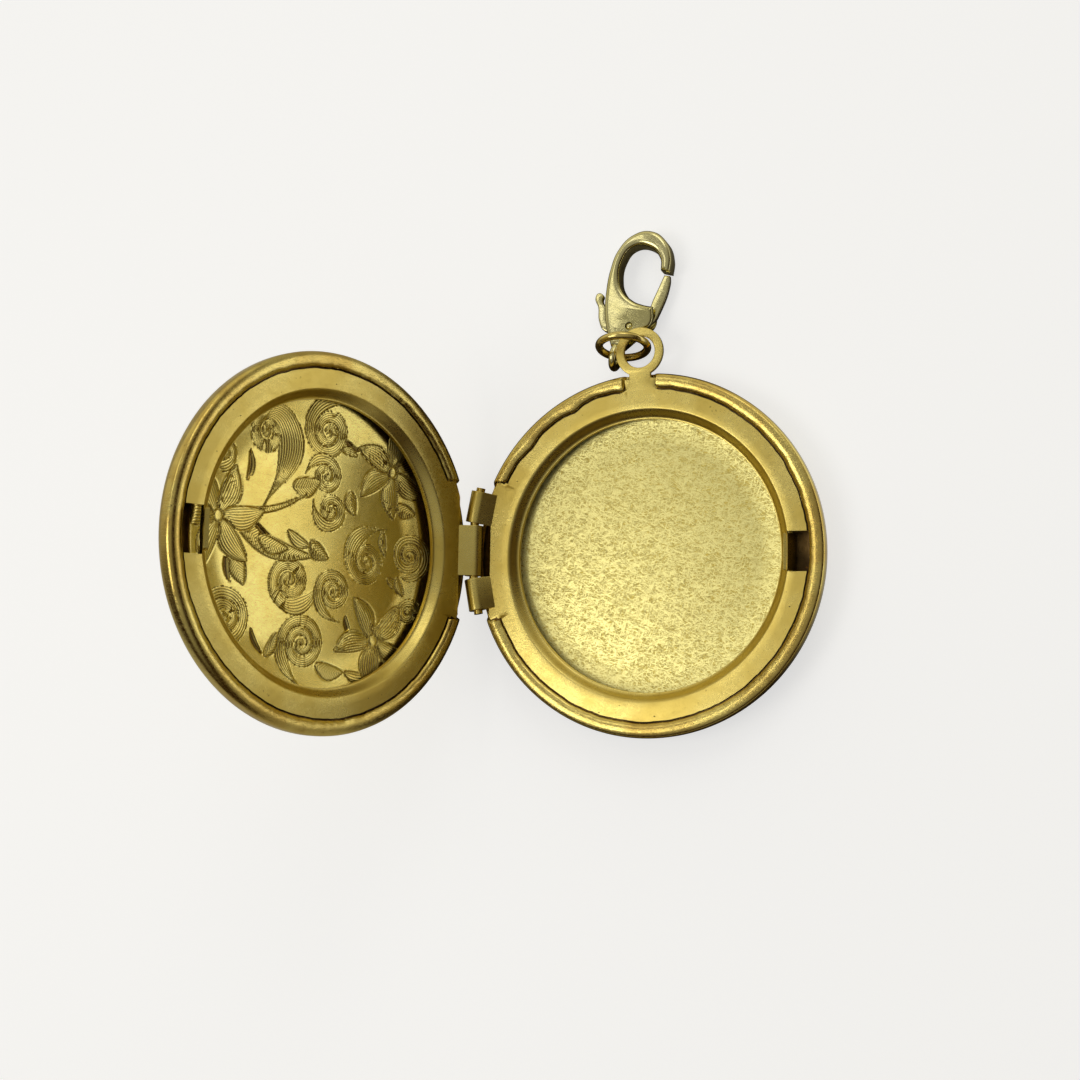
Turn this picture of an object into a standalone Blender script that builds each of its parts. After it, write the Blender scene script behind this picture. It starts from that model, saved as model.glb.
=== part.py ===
"""Round hinged locket with a jump ring and a lobster clasp, as separate closed solids.

World frame in metres: the back half lies flat with the centre of its outer face at the
origin, +Z goes up through it, +X goes from the hinge to the catch and +Y to the bail.
"""
import math

import bpy
from mathutils import Matrix, Vector

MM = 0.001

# Both halves
SHELL_RADIUS = 16.0 * MM
HALF_DEPTH = 3.3 * MM
FLAT_RADIUS = SHELL_RADIUS - 4.4 * MM
SHELL_WALL = 0.35 * MM
BACK_FLOOR = 0.45 * MM
FRONT_FLOOR = 0.3 * MM
BELLY_DEPTH = 1.0 * MM
RIM_ROUND = 0.15 * MM
LIP_THICKNESS = 0.3 * MM
LIP_REACH = 1.3 * MM
PLATE = 0.35 * MM
SEAT_GAP = 0.05 * MM
WINDOW_RADIUS = SHELL_RADIUS - 3.9 * MM
WINDOW_SLOPE = 0.85 * MM
WINDOW_DROP = 0.75 * MM
CLOSED_GAP = 0.2 * MM

# Hinge
PIN_RADIUS = 0.4 * MM
PIN_CLEARANCE = 0.06 * MM
HINGE_OFFSET = 0.1 * MM
HINGE_SHIFT = 0.5 * MM
CENTRE_KNUCKLE = 4.6 * MM
OUTER_KNUCKLE = 2.9 * MM
KNUCKLE_GAP = 0.28 * MM
KNUCKLE_SLANT = math.radians(11.0)
ROLL_END = math.radians(285.0)
FLANGE_START = 1.45 * MM
PIN_TAIL = 0.35 * MM
HINGE_NOTCH = 5.9 * MM
NOTCH_DEPTH = 0.98 * MM
OPEN_ANGLE = math.radians(109.3)

# Bail
BAIL_LEAN = math.radians(1.5)
BAIL_REACH = 2.0 * MM
BAIL_DISTANCE = SHELL_RADIUS + BAIL_REACH
EYELET_RADIUS = 2.2 * MM
EYELET_HOLE = 1.42 * MM
NECK_WIDTH = 2.0 * MM
NECK_ROOT = 3.4 * MM
BAIL_CLEARANCE = 0.1 * MM

# Catch
SLOT_INNER = SHELL_RADIUS - 3.25 * MM
SLOT_OUTER = SHELL_RADIUS - 1.35 * MM
SLOT_WIDTH = 3.4 * MM
OPENING_WIDTH = 3.8 * MM
TAB_DEPTH = 1.1 * MM
TAB_LEAN = 0.35 * MM
TONGUE_HEIGHT = 1.2 * MM
TONGUE_LEAN = 0.95 * MM
TONGUE_ROOT = SHELL_RADIUS - 3.7 * MM
TONGUE_SIDE_GAP = 0.15 * MM

# Jump ring
RING_RADIUS = 2.15 * MM
RING_WIRE = 0.35 * MM
RING_SPLIT = math.radians(5.0)
RING_SPLIT_AT = math.radians(12.0)
RING_FROM_EYELET = Vector((-1.45, 0.52, 0.36)) * MM
RING_ROLL = math.radians(10.0)
RING_LEAN = math.radians(14.0)
EYE_AT = math.radians(243.0)

# Clasp
CLASP_ROLL = math.radians(4.0)
CLASP_LEAN = math.radians(12.0)
CLASP_THICKNESS = 2.1 * MM
EYE_RADIUS = 1.0 * MM
EYE_WIRE = 0.34 * MM
SLOT_THICKNESS = 1.2 * MM
LEVER_THICKNESS = 0.7 * MM
LEVER_SIDE_GAP = 0.06 * MM
PIVOT = Vector((0.9, 2.75)) * MM
PIVOT_RADIUS = 0.3 * MM
PIVOT_CLEARANCE = 0.05 * MM
SPRING_WIRE = 0.08 * MM
SPRING_RADIUS = 0.52 * MM
SPRING_TURNS = 0.9
SLOT_BOTTOM = 1.3 * MM
SLOT_TOP = 5.25 * MM

TURN_STEPS = 80
PLATE_TOP = HALF_DEPTH - LIP_THICKNESS - SEAT_GAP
HINGE_HEIGHT = HALF_DEPTH + CLOSED_GAP / 2
HINGE_X = -(SHELL_RADIUS + HINGE_OFFSET)
KNUCKLE_RADIUS = PIN_RADIUS + PIN_CLEARANCE + PLATE
OVERCUT = 1.0 * MM


def clear_scene():
    """Remove every object that the file starts with."""
    for item in list(bpy.data.objects):
        bpy.data.objects.remove(item, do_unlink=True)


def collection(name):
    """Return a new collection linked to the scene."""
    group = bpy.data.collections.new(name)
    bpy.context.scene.collection.children.link(group)
    return group


def metal(name, colour, roughness):
    """Return a metallic Principled material."""
    material = bpy.data.materials.new(name)
    material.use_nodes = True
    shader = material.node_tree.nodes["Principled BSDF"]
    shader.inputs["Base Color"].default_value = (*colour, 1.0)
    shader.inputs["Metallic"].default_value = 1.0
    shader.inputs["Roughness"].default_value = roughness
    material.diffuse_color = (*colour, 1.0)
    return material


def add_object(name, mesh, group):
    """Link a mesh object to one collection."""
    item = bpy.data.objects.new(name, mesh)
    group.objects.link(item)
    return item


def turned(name, profile, group):
    """Turn a profile of (radius, height) points round Z with a Screw modifier."""
    mesh = bpy.data.meshes.new(name)
    points = [(radius, 0.0, height) for radius, height in profile]
    mesh.from_pydata(points, [(i, i + 1) for i in range(len(points) - 1)], [])
    item = add_object(name, mesh, group)
    screw = item.modifiers.new("turn", "SCREW")
    screw.steps = TURN_STEPS
    screw.render_steps = TURN_STEPS
    screw.use_merge_vertices = True
    screw.merge_threshold = 0.001 * MM
    return item


def curve_solid(name, splines, half_thickness, group, resolution=5):
    """Fill closed outlines of (x, y, corner) points and give them a thickness along Z."""
    curve = bpy.data.curves.new(name, "CURVE")
    curve.dimensions = "2D"
    curve.fill_mode = "BOTH"
    curve.extrude = half_thickness
    curve.resolution_u = resolution
    for outline in splines:
        spline = curve.splines.new("BEZIER")
        spline.bezier_points.add(len(outline) - 1)
        spline.use_cyclic_u = True
        for knot, (x, y, corner) in zip(spline.bezier_points, outline):
            knot.co = (x, y, 0.0)
            knot.handle_left_type = "VECTOR" if corner else "AUTO"
            knot.handle_right_type = "VECTOR" if corner else "AUTO"
    return curve_to_mesh(name, curve, group)


def wire_solid(name, points, radius, group, bevel_resolution=2):
    """Make a wire with closed ends along a list of points."""
    curve = bpy.data.curves.new(name, "CURVE")
    curve.dimensions = "3D"
    curve.bevel_depth = radius
    curve.bevel_resolution = bevel_resolution
    curve.use_fill_caps = True
    spline = curve.splines.new("POLY")
    spline.points.add(len(points) - 1)
    for knot, point in zip(spline.points, points):
        knot.co = (*point, 1.0)
    return curve_to_mesh(name, curve, group)


def curve_to_mesh(name, curve, group):
    """Turn a curve into a welded mesh object."""
    source = bpy.data.objects.new(name + "_curve", curve)
    group.objects.link(source)
    bpy.context.view_layer.update()
    mesh = bpy.data.meshes.new_from_object(source)
    mesh.name = name
    bpy.data.objects.remove(source, do_unlink=True)
    item = add_object(name, mesh, group)
    weld = item.modifiers.new("weld", "WELD")
    weld.merge_threshold = 0.001 * MM
    return item


def box(name, low, high, group):
    """Make a box between two corners from the cube primitive."""
    bpy.ops.mesh.primitive_cube_add(size=1.0)
    item = bpy.context.active_object
    item.name = name
    for other in list(item.users_collection):
        other.objects.unlink(item)
    group.objects.link(item)
    low, high = Vector(low), Vector(high)
    size = high - low
    centre = (low + high) / 2
    item.data.transform(Matrix.Translation(centre) @ Matrix.Diagonal((*size, 1.0)))
    return item


def cylinder(name, radius, length, group, vertices=24):
    """Make a closed cylinder along Z, centred on the origin."""
    bpy.ops.mesh.primitive_cylinder_add(radius=radius, depth=length, vertices=vertices)
    item = bpy.context.active_object
    item.name = name
    for other in list(item.users_collection):
        other.objects.unlink(item)
    group.objects.link(item)
    return item


def combine(target, tool, operation):
    """Add an exact Boolean modifier and hide the tool."""
    step = target.modifiers.new(tool.name, "BOOLEAN")
    step.object = tool
    step.operation = operation
    step.solver = "EXACT"
    tool.hide_render = True
    tool.display_type = "WIRE"


def arc(centre, radii, start, end, steps):
    """Points of an elliptical arc, both ends included."""
    angles = [start + (end - start) * i / steps for i in range(steps + 1)]
    return [(centre[0] + radii[0] * math.cos(a), centre[1] + radii[1] * math.sin(a)) for a in angles]


def strip(centre_line, thickness):
    """Closed outline of a strip of sheet that follows a centre line."""
    left, right = [], []
    last = len(centre_line) - 1
    for i, point in enumerate(centre_line):
        before = Vector(centre_line[max(i - 1, 0)])
        after = Vector(centre_line[min(i + 1, last)])
        along = (after - before).normalized()
        side = Vector((-along.y, along.x)) * thickness / 2
        left.append(Vector(point) + side)
        right.append(Vector(point) - side)
    return [(p.x, p.y, True) for p in left + right[::-1]]


def upright_sheet(name, line, width, group):
    """Bent strip of sheet drawn in X and Z, its width along Y and centred on Y = 0."""
    item = curve_solid(name, [strip(line, PLATE)], width / 2, group)
    item.data.transform(Matrix.Rotation(math.pi / 2, 4, "X"))
    return item


def shell_profile(floor):
    """Inner side first, then the crimped lip, then down the outside, over a floor of that thickness."""
    belly = HALF_DEPTH - BELLY_DEPTH
    shoulder = SHELL_RADIUS - FLAT_RADIUS
    inner = arc((FLAT_RADIUS, belly), (shoulder - SHELL_WALL, belly - floor), -math.pi / 2, 0.0, 5)
    outer = arc((FLAT_RADIUS, belly), (shoulder, belly), 0.0, -math.pi / 2, 6)
    lip = SHELL_RADIUS - LIP_REACH
    rim = [
        (SHELL_RADIUS - SHELL_WALL, HALF_DEPTH - LIP_THICKNESS),
        (lip, HALF_DEPTH - LIP_THICKNESS),
        (lip, HALF_DEPTH),
        (SHELL_RADIUS - RIM_ROUND, HALF_DEPTH),
        (SHELL_RADIUS, HALF_DEPTH - RIM_ROUND),
    ]
    return [(0.0, floor)] + inner + rim + outer + [(0.0, 0.0)]


def plate_profile():
    """Closed section of the ring plate with its sloping window lip."""
    steps = 4
    top, under = [], []
    for i in range(steps + 1):
        share = i / steps
        ease = share * share * (3.0 - 2.0 * share)
        radius = WINDOW_RADIUS + WINDOW_SLOPE * share
        height = PLATE_TOP - WINDOW_DROP * (1.0 - ease)
        top.append((radius, height))
        under.append((radius, height - PLATE))
    edge = SHELL_RADIUS - SHELL_WALL - SEAT_GAP
    rim = [(edge, PLATE_TOP), (edge, PLATE_TOP - PLATE)]
    return top + rim + under[::-1] + [top[0]]


def knuckle_line():
    """Centre line of sheet that leaves the plate and rolls over the pin."""
    radius = KNUCKLE_RADIUS - PLATE / 2
    start = Vector((HINGE_X + FLANGE_START, PLATE_TOP - PLATE / 2))
    axis = Vector((HINGE_X, HINGE_HEIGHT))
    reach = start - axis
    touch = math.atan2(reach.y, reach.x) + math.acos(radius / reach.length)
    roll = arc(axis, (radius, radius), touch, touch + ROLL_END, 16)
    inward = (start.x + 1.2 * PLATE, start.y)
    return [inward, tuple(start)] + roll


def half_shell(name, floor, shift, group, cutters):
    """Stamped half with the crimped lip cut away at the hinge."""
    shell = turned(name, shell_profile(floor), group)
    low = (HINGE_X - OVERCUT, shift - HINGE_NOTCH, HALF_DEPTH - NOTCH_DEPTH)
    high = (-WINDOW_RADIUS, shift + HINGE_NOTCH, HALF_DEPTH + OVERCUT)
    combine(shell, box(name + "_hinge_notch", low, high, cutters), "DIFFERENCE")
    return shell


def back_shell(group, cutters):
    """Back half, with a second notch where the bail passes through its rim."""
    shell = half_shell("back_shell", BACK_FLOOR, HINGE_SHIFT, group, cutters)
    half = NECK_WIDTH / 2 + BAIL_CLEARANCE
    low = (-half, SHELL_RADIUS - 2 * LIP_REACH, PLATE_TOP - PLATE - BAIL_CLEARANCE)
    high = (half, SHELL_RADIUS + OVERCUT, HALF_DEPTH + OVERCUT)
    notch = box("bail_notch", low, high, cutters)
    notch.data.transform(Matrix.Rotation(BAIL_LEAN, 4, "Z"))
    combine(shell, notch, "DIFFERENCE")
    return shell


def frame_plate(name, group, cutters, opening_width):
    """Ring plate with the opening for the catch."""
    frame = turned(name, plate_profile(), group)
    low = (SLOT_INNER, -opening_width / 2, PLATE_TOP - WINDOW_DROP - 2 * PLATE)
    high = (SLOT_OUTER, opening_width / 2, PLATE_TOP + OVERCUT)
    combine(frame, box(name + "_catch_slot", low, high, cutters), "DIFFERENCE")
    return frame


def trim_hinge_side(frame, shift, cutters):
    """Cut the plate back over the whole width of the three knuckles."""
    half = CENTRE_KNUCKLE / 2 + 2 * KNUCKLE_GAP + OUTER_KNUCKLE
    low = (HINGE_X - OVERCUT, shift - half, PLATE_TOP - PLATE - OVERCUT)
    high = (HINGE_X + FLANGE_START, shift + half, PLATE_TOP + OVERCUT)
    combine(frame, box(frame.name + "_knuckle_room", low, high, cutters), "DIFFERENCE")


def bail_outline():
    """Neck and eyelet, pointing along +Y, with the hole as a second outline."""
    half = NECK_WIDTH / 2
    meet = math.asin(half / EYELET_RADIUS)
    round_part = arc((0.0, BAIL_DISTANCE), (EYELET_RADIUS, EYELET_RADIUS),
                     meet - math.pi / 2, 1.5 * math.pi - meet, 22)
    root = SHELL_RADIUS - LIP_REACH
    neck = [(-half, root, True), (-NECK_ROOT / 2, root - half, True),
            (NECK_ROOT / 2, root - half, True), (half, root, True)]
    hole = arc((0.0, BAIL_DISTANCE), (EYELET_HOLE, EYELET_HOLE), 0.0, -2 * math.pi, 24)[:-1]
    return [[(x, y, True) for x, y in round_part] + neck, [(x, y, True) for x, y in hole]]


def back_frame(group, cutters):
    """Ring plate of the back half with the bail, the slanted knuckles and the slot's tab."""
    frame = frame_plate("back_frame", group, cutters, SLOT_WIDTH)
    trim_hinge_side(frame, HINGE_SHIFT, cutters)
    for name, side in (("upper_knuckle", 1), ("lower_knuckle", -1)):
        item = upright_sheet(name, knuckle_line(), OUTER_KNUCKLE, cutters)
        item.data.transform(outer_knuckle_place(side))
        combine(frame, item, "UNION")
    bail = curve_solid("bail", bail_outline(), PLATE / 2, cutters)
    middle = PLATE_TOP - PLATE / 2
    bail.data.transform(Matrix.Rotation(BAIL_LEAN, 4, "Z") @ Matrix.Translation((0, 0, middle)))
    combine(frame, bail, "UNION")
    tab = [(SLOT_INNER - PLATE, middle), (SLOT_INNER - PLATE / 4, middle - PLATE / 4),
           (SLOT_INNER + TAB_LEAN, middle - TAB_DEPTH)]
    width = SLOT_WIDTH - 2 * TONGUE_SIDE_GAP
    combine(frame, upright_sheet("catch_tab", tab, width, cutters), "UNION")
    return frame


def outer_knuckle_place(side):
    """Matrix that slants an outer knuckle about its inner end, side +1 above and -1 below."""
    inner_end = Vector((HINGE_X, HINGE_SHIFT + side * (CENTRE_KNUCKLE / 2 + KNUCKLE_GAP), 0.0))
    to_end = Matrix.Translation(inner_end)
    slant = Matrix.Rotation(-side * KNUCKLE_SLANT, 4, "Z")
    from_axis = Matrix.Translation((-HINGE_X, side * OUTER_KNUCKLE / 2, 0.0))
    return to_end @ slant @ from_axis


def front_frame(group, cutters):
    """Ring plate of the front half with the centre knuckle and the catch tongue."""
    frame = frame_plate("front_frame", group, cutters, OPENING_WIDTH)
    trim_hinge_side(frame, -HINGE_SHIFT, cutters)
    item = upright_sheet("centre_knuckle", knuckle_line(), CENTRE_KNUCKLE, cutters)
    item.data.transform(Matrix.Translation((0.0, -HINGE_SHIFT, 0.0)))
    combine(frame, item, "UNION")
    root = PLATE_TOP - WINDOW_DROP / 2
    tongue = [(TONGUE_ROOT, root), (TONGUE_ROOT + TONGUE_LEAN / 2, PLATE_TOP + TONGUE_HEIGHT / 3),
              (TONGUE_ROOT + TONGUE_LEAN, PLATE_TOP + TONGUE_HEIGHT)]
    width = SLOT_WIDTH - 2 * TONGUE_SIDE_GAP
    combine(frame, upright_sheet("catch_tongue", tongue, width, cutters), "UNION")
    return frame


def hinge_pin(group):
    """Wire that is straight in the centre knuckle and follows both slanted ones."""
    points = []
    length = OUTER_KNUCKLE + PIN_TAIL
    for side in (1, -1):
        bend = Vector((HINGE_X, HINGE_SHIFT + side * (CENTRE_KNUCKLE / 2 + KNUCKLE_GAP), HINGE_HEIGHT))
        tail = Matrix.Rotation(-side * KNUCKLE_SLANT, 3, "Z") @ Vector((0.0, side * length, 0.0))
        points.append((bend, bend + tail))
    (upper, upper_end), (lower, lower_end) = points
    return wire_solid("hinge_pin", [upper_end, upper, lower, lower_end], PIN_RADIUS, group)


def eyelet_centre():
    """World position of the middle of the bail's hole."""
    flat = Matrix.Rotation(BAIL_LEAN, 3, "Z") @ Vector((0.0, BAIL_DISTANCE, 0.0))
    return flat + Vector((0.0, 0.0, PLATE_TOP - PLATE / 2))


def ring_frame():
    """Matrix with X and Y in the jump ring's plane and its centre as origin."""
    turn = Matrix.Rotation(RING_ROLL, 4, "Y") @ Matrix.Rotation(math.pi / 2 - RING_LEAN, 4, "X")
    return Matrix.Translation(eyelet_centre() + RING_FROM_EYELET) @ turn


def ring_axis_point():
    """Point in the bail's hole that the jump ring swings about."""
    centre = eyelet_centre() + RING_FROM_EYELET
    drop = eyelet_centre().z - centre.z
    return Vector((eyelet_centre().x, centre.y + drop * math.tan(RING_LEAN), eyelet_centre().z))


def jump_ring(group):
    """Split wire ring, its origin on the axis that it swings about."""
    start = RING_SPLIT_AT + RING_SPLIT / 2
    turn = 2 * math.pi - RING_SPLIT
    steps = 40
    points = [ring_point(start + turn * i / steps) for i in range(steps + 1)]
    return wire_solid("jump_ring", points, RING_WIRE, group)


def ring_point(angle):
    """World point on the jump ring's centre line."""
    flat = Vector((math.cos(angle), math.sin(angle), 0.0)) * RING_RADIUS
    return ring_frame() @ flat


def clasp_frame():
    """Matrix of the clasp: origin in its eye, X across, Y along, Z through its thickness."""
    turn = Matrix.Rotation(CLASP_ROLL, 4, "Y") @ Matrix.Rotation(-CLASP_LEAN, 4, "Z")
    return Matrix.Translation(ring_point(EYE_AT)) @ turn


def clasp_outline():
    """Hook and body, from the neck up the left side and round the hook to its tip."""
    outer = [(-0.45, 0.75, True), (-1.15, 2.1, False), (-1.7, 3.7, False), (-2.0, 5.6, False),
             (-2.05, 7.6, False), (-1.7, 9.5, False), (-0.6, 11.05, False), (1.0, 11.6, False),
             (2.5, 10.9, False), (3.35, 9.5, False), (3.5, 8.15, True)]
    inner = [(2.62, 8.2, True), (2.3, 9.3, False), (1.0, 10.15, False), (-0.4, 9.9, False),
             (-1.05, 8.7, False), (-1.0, 7.0, False), (-0.45, 5.9, False), (0.6, 5.15, False),
             (1.6, 4.9, False), (2.65, 4.85, True), (2.85, 3.3, False), (1.6, 2.0, False),
             (0.55, 0.75, True)]
    return [[(x * MM, y * MM, corner) for x, y, corner in outer + inner]]


def clasp_body(group, cutters):
    """Hook, cheeks and tail eye, with the lever's slot and the rivet's hole."""
    body = curve_solid("clasp_body", clasp_outline(), CLASP_THICKNESS / 2, group)
    bpy.ops.mesh.primitive_torus_add(major_radius=EYE_RADIUS, minor_radius=EYE_WIRE,
                                     major_segments=28, minor_segments=10)
    eye = bpy.context.active_object
    eye.name = "clasp_eye"
    for other in list(eye.users_collection):
        other.objects.unlink(eye)
    cutters.objects.link(eye)
    eye.data.transform(Matrix.Rotation(math.pi / 2, 4, "Y"))
    combine(body, eye, "UNION")
    low = (-4 * MM, SLOT_BOTTOM, -SLOT_THICKNESS / 2)
    high = (4 * MM, SLOT_TOP, SLOT_THICKNESS / 2)
    combine(body, box("lever_slot", low, high, cutters), "DIFFERENCE")
    hole = cylinder("rivet_hole", PIVOT_RADIUS + PIVOT_CLEARANCE, 2 * CLASP_THICKNESS, cutters)
    hole.data.transform(Matrix.Translation((*PIVOT, 0.0)))
    combine(body, hole, "DIFFERENCE")
    return body


def lever_outline():
    """Gate on the right, hub, and the arm up to the trigger knob on the left."""
    gate = [(1.75, 2.6, False), (2.75, 3.5, False), (3.15, 4.6, False), (3.5, 7.3, False),
            (3.38, 7.95, True), (2.85, 7.95, True), (2.35, 5.8, False), (1.9, 4.2, False)]
    arm = [(0.9, 3.6, False), (0.1, 3.3, False), (-0.9, 2.75, False), (-1.75, 4.1, False),
           (-2.35, 4.85, False), (-2.4, 5.35, False), (-2.9, 5.5, False), (-3.1, 5.0, False),
           (-2.65, 4.2, False), (-2.3, 3.0, False), (-1.6, 2.15, False), (-0.4, 2.25, False),
           (0.6, 1.95, False)]
    return [(x * MM, y * MM, corner) for x, y, corner in gate + arm]


def clasp_lever(group, cutters):
    """Gate and trigger in one flat piece that lies against the lower cheek."""
    lever = curve_solid("clasp_lever", [lever_outline()], LEVER_THICKNESS / 2, group)
    lever.data.transform(Matrix.Translation((0.0, 0.0, lever_middle())))
    hole = cylinder("lever_hole", PIVOT_RADIUS + PIVOT_CLEARANCE, 2 * CLASP_THICKNESS, cutters)
    hole.data.transform(Matrix.Translation((*PIVOT, 0.0)))
    combine(lever, hole, "DIFFERENCE")
    return lever


def lever_middle():
    """Height of the lever's middle in the clasp's own frame."""
    return -SLOT_THICKNESS / 2 + LEVER_SIDE_GAP + LEVER_THICKNESS / 2


def clasp_pivot_pin(group):
    """Rivet through both cheeks."""
    pin = cylinder("clasp_pivot_pin", PIVOT_RADIUS, CLASP_THICKNESS, group)
    pin.data.transform(Matrix.Translation((*PIVOT, 0.0)))
    return pin


def clasp_spring(group):
    """Torsion coil round the rivet, between the lever and the upper cheek."""
    lever_top = lever_middle() + LEVER_THICKNESS / 2
    room = SLOT_THICKNESS / 2 - lever_top
    rise = (room - 2 * SPRING_WIRE) / 2
    start = lever_top + room / 2 - rise / 2
    steps = 24
    points = []
    for i in range(steps + 1):
        angle = 2 * math.pi * SPRING_TURNS * i / steps
        x = PIVOT.x + SPRING_RADIUS * math.cos(angle)
        y = PIVOT.y + SPRING_RADIUS * math.sin(angle)
        points.append(Vector((x, y, start + rise * i / steps)))
    return wire_solid("clasp_spring", points, SPRING_WIRE, group, bevel_resolution=1)


def joint_empty(name, matrix, group, parent=None):
    """Empty whose origin lies on a joint's axis."""
    empty = bpy.data.objects.new(name, None)
    empty.empty_display_size = 2 * MM
    group.objects.link(empty)
    empty.parent = parent
    empty.matrix_local = matrix
    return empty


def attach(item, empty, offset):
    """Parent a piece and the tools of its Booleans to an empty, at an offset from it."""
    tools = [step.object for step in item.modifiers if step.type == "BOOLEAN"]
    for piece in [item] + tools:
        piece.parent = empty
        piece.location = offset


def finish(item, material):
    """Give a piece its material and smooth its round faces."""
    item.data.materials.clear()
    item.data.materials.append(material)
    item.data.shade_smooth()


def main():
    """Build every piece and hang the moving ones on their joints."""
    clear_scene()
    parts = collection("locket")
    cutters = collection("cutters")
    satin_brass = (0.72, 0.53, 0.16)
    polished_brass = (0.74, 0.63, 0.28)

    finish(back_shell(parts, cutters), metal("back_shell_brass", satin_brass, 0.35))
    finish(back_frame(parts, cutters), metal("back_frame_brass", satin_brass, 0.3))
    finish(hinge_pin(parts), metal("hinge_pin_brass", satin_brass, 0.3))

    hinge = Matrix.Translation((HINGE_X, 0.0, HINGE_HEIGHT))
    lift = Matrix.Rotation(math.pi - OPEN_ANGLE, 4, "Y") @ Matrix.Rotation(math.pi, 4, "Z")
    front = joint_empty("locket_hinge", hinge @ lift, parts)
    from_hinge = (-HINGE_X, 0.0, -HINGE_HEIGHT)
    shell = half_shell("front_shell", FRONT_FLOOR, -HINGE_SHIFT, parts, cutters)
    finish(shell, metal("front_shell_brass", satin_brass, 0.3))
    frame = front_frame(parts, cutters)
    finish(frame, metal("front_frame_brass", satin_brass, 0.3))
    attach(shell, front, from_hinge)
    attach(frame, front, from_hinge)

    swing = joint_empty("ring_swing", Matrix.Translation(ring_axis_point()), parts)
    ring = jump_ring(parts)
    finish(ring, metal("jump_ring_brass", satin_brass, 0.25))
    attach(ring, swing, -ring_axis_point())

    from_ring = Matrix.Translation(-ring_axis_point()) @ clasp_frame()
    eye = joint_empty("clasp_swing", from_ring, parts, swing)
    body = clasp_body(parts, cutters)
    pin = clasp_pivot_pin(parts)
    spring = clasp_spring(parts)
    for item, roughness in ((body, 0.15), (pin, 0.2), (spring, 0.3)):
        finish(item, metal(item.name + "_brass", polished_brass, roughness))
        attach(item, eye, (0.0, 0.0, 0.0))
    pivot = joint_empty("lever_pivot", Matrix.Translation((*PIVOT, 0.0)), parts, eye)
    lever = clasp_lever(parts, cutters)
    finish(lever, metal("clasp_lever_brass", polished_brass, 0.15))
    attach(lever, pivot, (-PIVOT.x, -PIVOT.y, 0.0))
    bpy.context.view_layer.update()


main()
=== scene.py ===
"""Looks of a round hinged brass locket with a jump ring and a lobster clasp.

Lengths are in millimetres until a mesh is made, which turns them into metres.
"""
import logging
import math
from dataclasses import dataclass, field
from enum import Enum
from typing import Sequence

import bmesh
import bpy
import numpy as np
from mathutils import Matrix, Vector


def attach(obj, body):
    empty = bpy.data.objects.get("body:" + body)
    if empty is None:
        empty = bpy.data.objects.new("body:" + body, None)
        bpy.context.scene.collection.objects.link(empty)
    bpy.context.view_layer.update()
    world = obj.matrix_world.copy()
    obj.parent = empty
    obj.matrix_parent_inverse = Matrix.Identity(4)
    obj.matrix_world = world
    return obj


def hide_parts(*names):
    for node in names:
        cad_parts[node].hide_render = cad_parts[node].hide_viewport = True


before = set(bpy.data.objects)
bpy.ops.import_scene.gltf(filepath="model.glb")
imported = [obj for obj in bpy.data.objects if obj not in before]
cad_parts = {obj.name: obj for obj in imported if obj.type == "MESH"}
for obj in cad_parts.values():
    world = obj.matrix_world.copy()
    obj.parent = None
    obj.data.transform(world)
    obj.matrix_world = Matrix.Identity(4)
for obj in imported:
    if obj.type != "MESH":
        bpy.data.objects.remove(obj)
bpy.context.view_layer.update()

MM = 0.001
SMOOTH_ANGLE = math.radians(38.0)
Colour = tuple[float, float, float]
Point = tuple[float, float]
Outline = list[tuple[float, float, bool]]
log = logging.getLogger("locket")


# ---------------------------------------------------------------- small tools


def ease(value: np.ndarray) -> np.ndarray:
    """Smooth step from 0 to 1, flat at both ends."""
    share = np.clip(value, 0.0, 1.0)
    return share * share * (3.0 - 2.0 * share)


def turn(axis: str, degrees: float) -> Matrix:
    """Rotation about a world axis."""
    return Matrix.Rotation(math.radians(degrees), 4, axis)


def shift(x: float, y: float, z: float) -> Matrix:
    """Translation."""
    return Matrix.Translation((x, y, z))


def arc(centre: Point, radii: Point, start: float, end: float, steps: int) -> list[Point]:
    """Points of an elliptical arc.

    Args:
        centre: middle of the ellipse.
        radii: its two radii.
        start: first angle in radians.
        end: last angle in radians.
        steps: number of chords.

    Returns:
        The points, both ends included.
    """
    angles = [start + (end - start) * i / steps for i in range(steps + 1)]
    return [(centre[0] + radii[0] * math.cos(a), centre[1] + radii[1] * math.sin(a))
            for a in angles]


def smooth_random(seed: int, knots: int, at: np.ndarray) -> np.ndarray:
    """Periodic random curve.

    Args:
        seed: fixes the curve.
        knots: number of random values round the circle.
        at: angles in radians.

    Returns:
        Values between -1 and 1 at the angles.
    """
    values = np.random.default_rng(seed).uniform(-1.0, 1.0, knots)
    place = (at / (2 * math.pi) % 1.0) * knots
    low = np.floor(place).astype(int)
    blend = ease(place - low)
    return values[low % knots] * (1 - blend) + values[(low + 1) % knots] * blend


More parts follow.
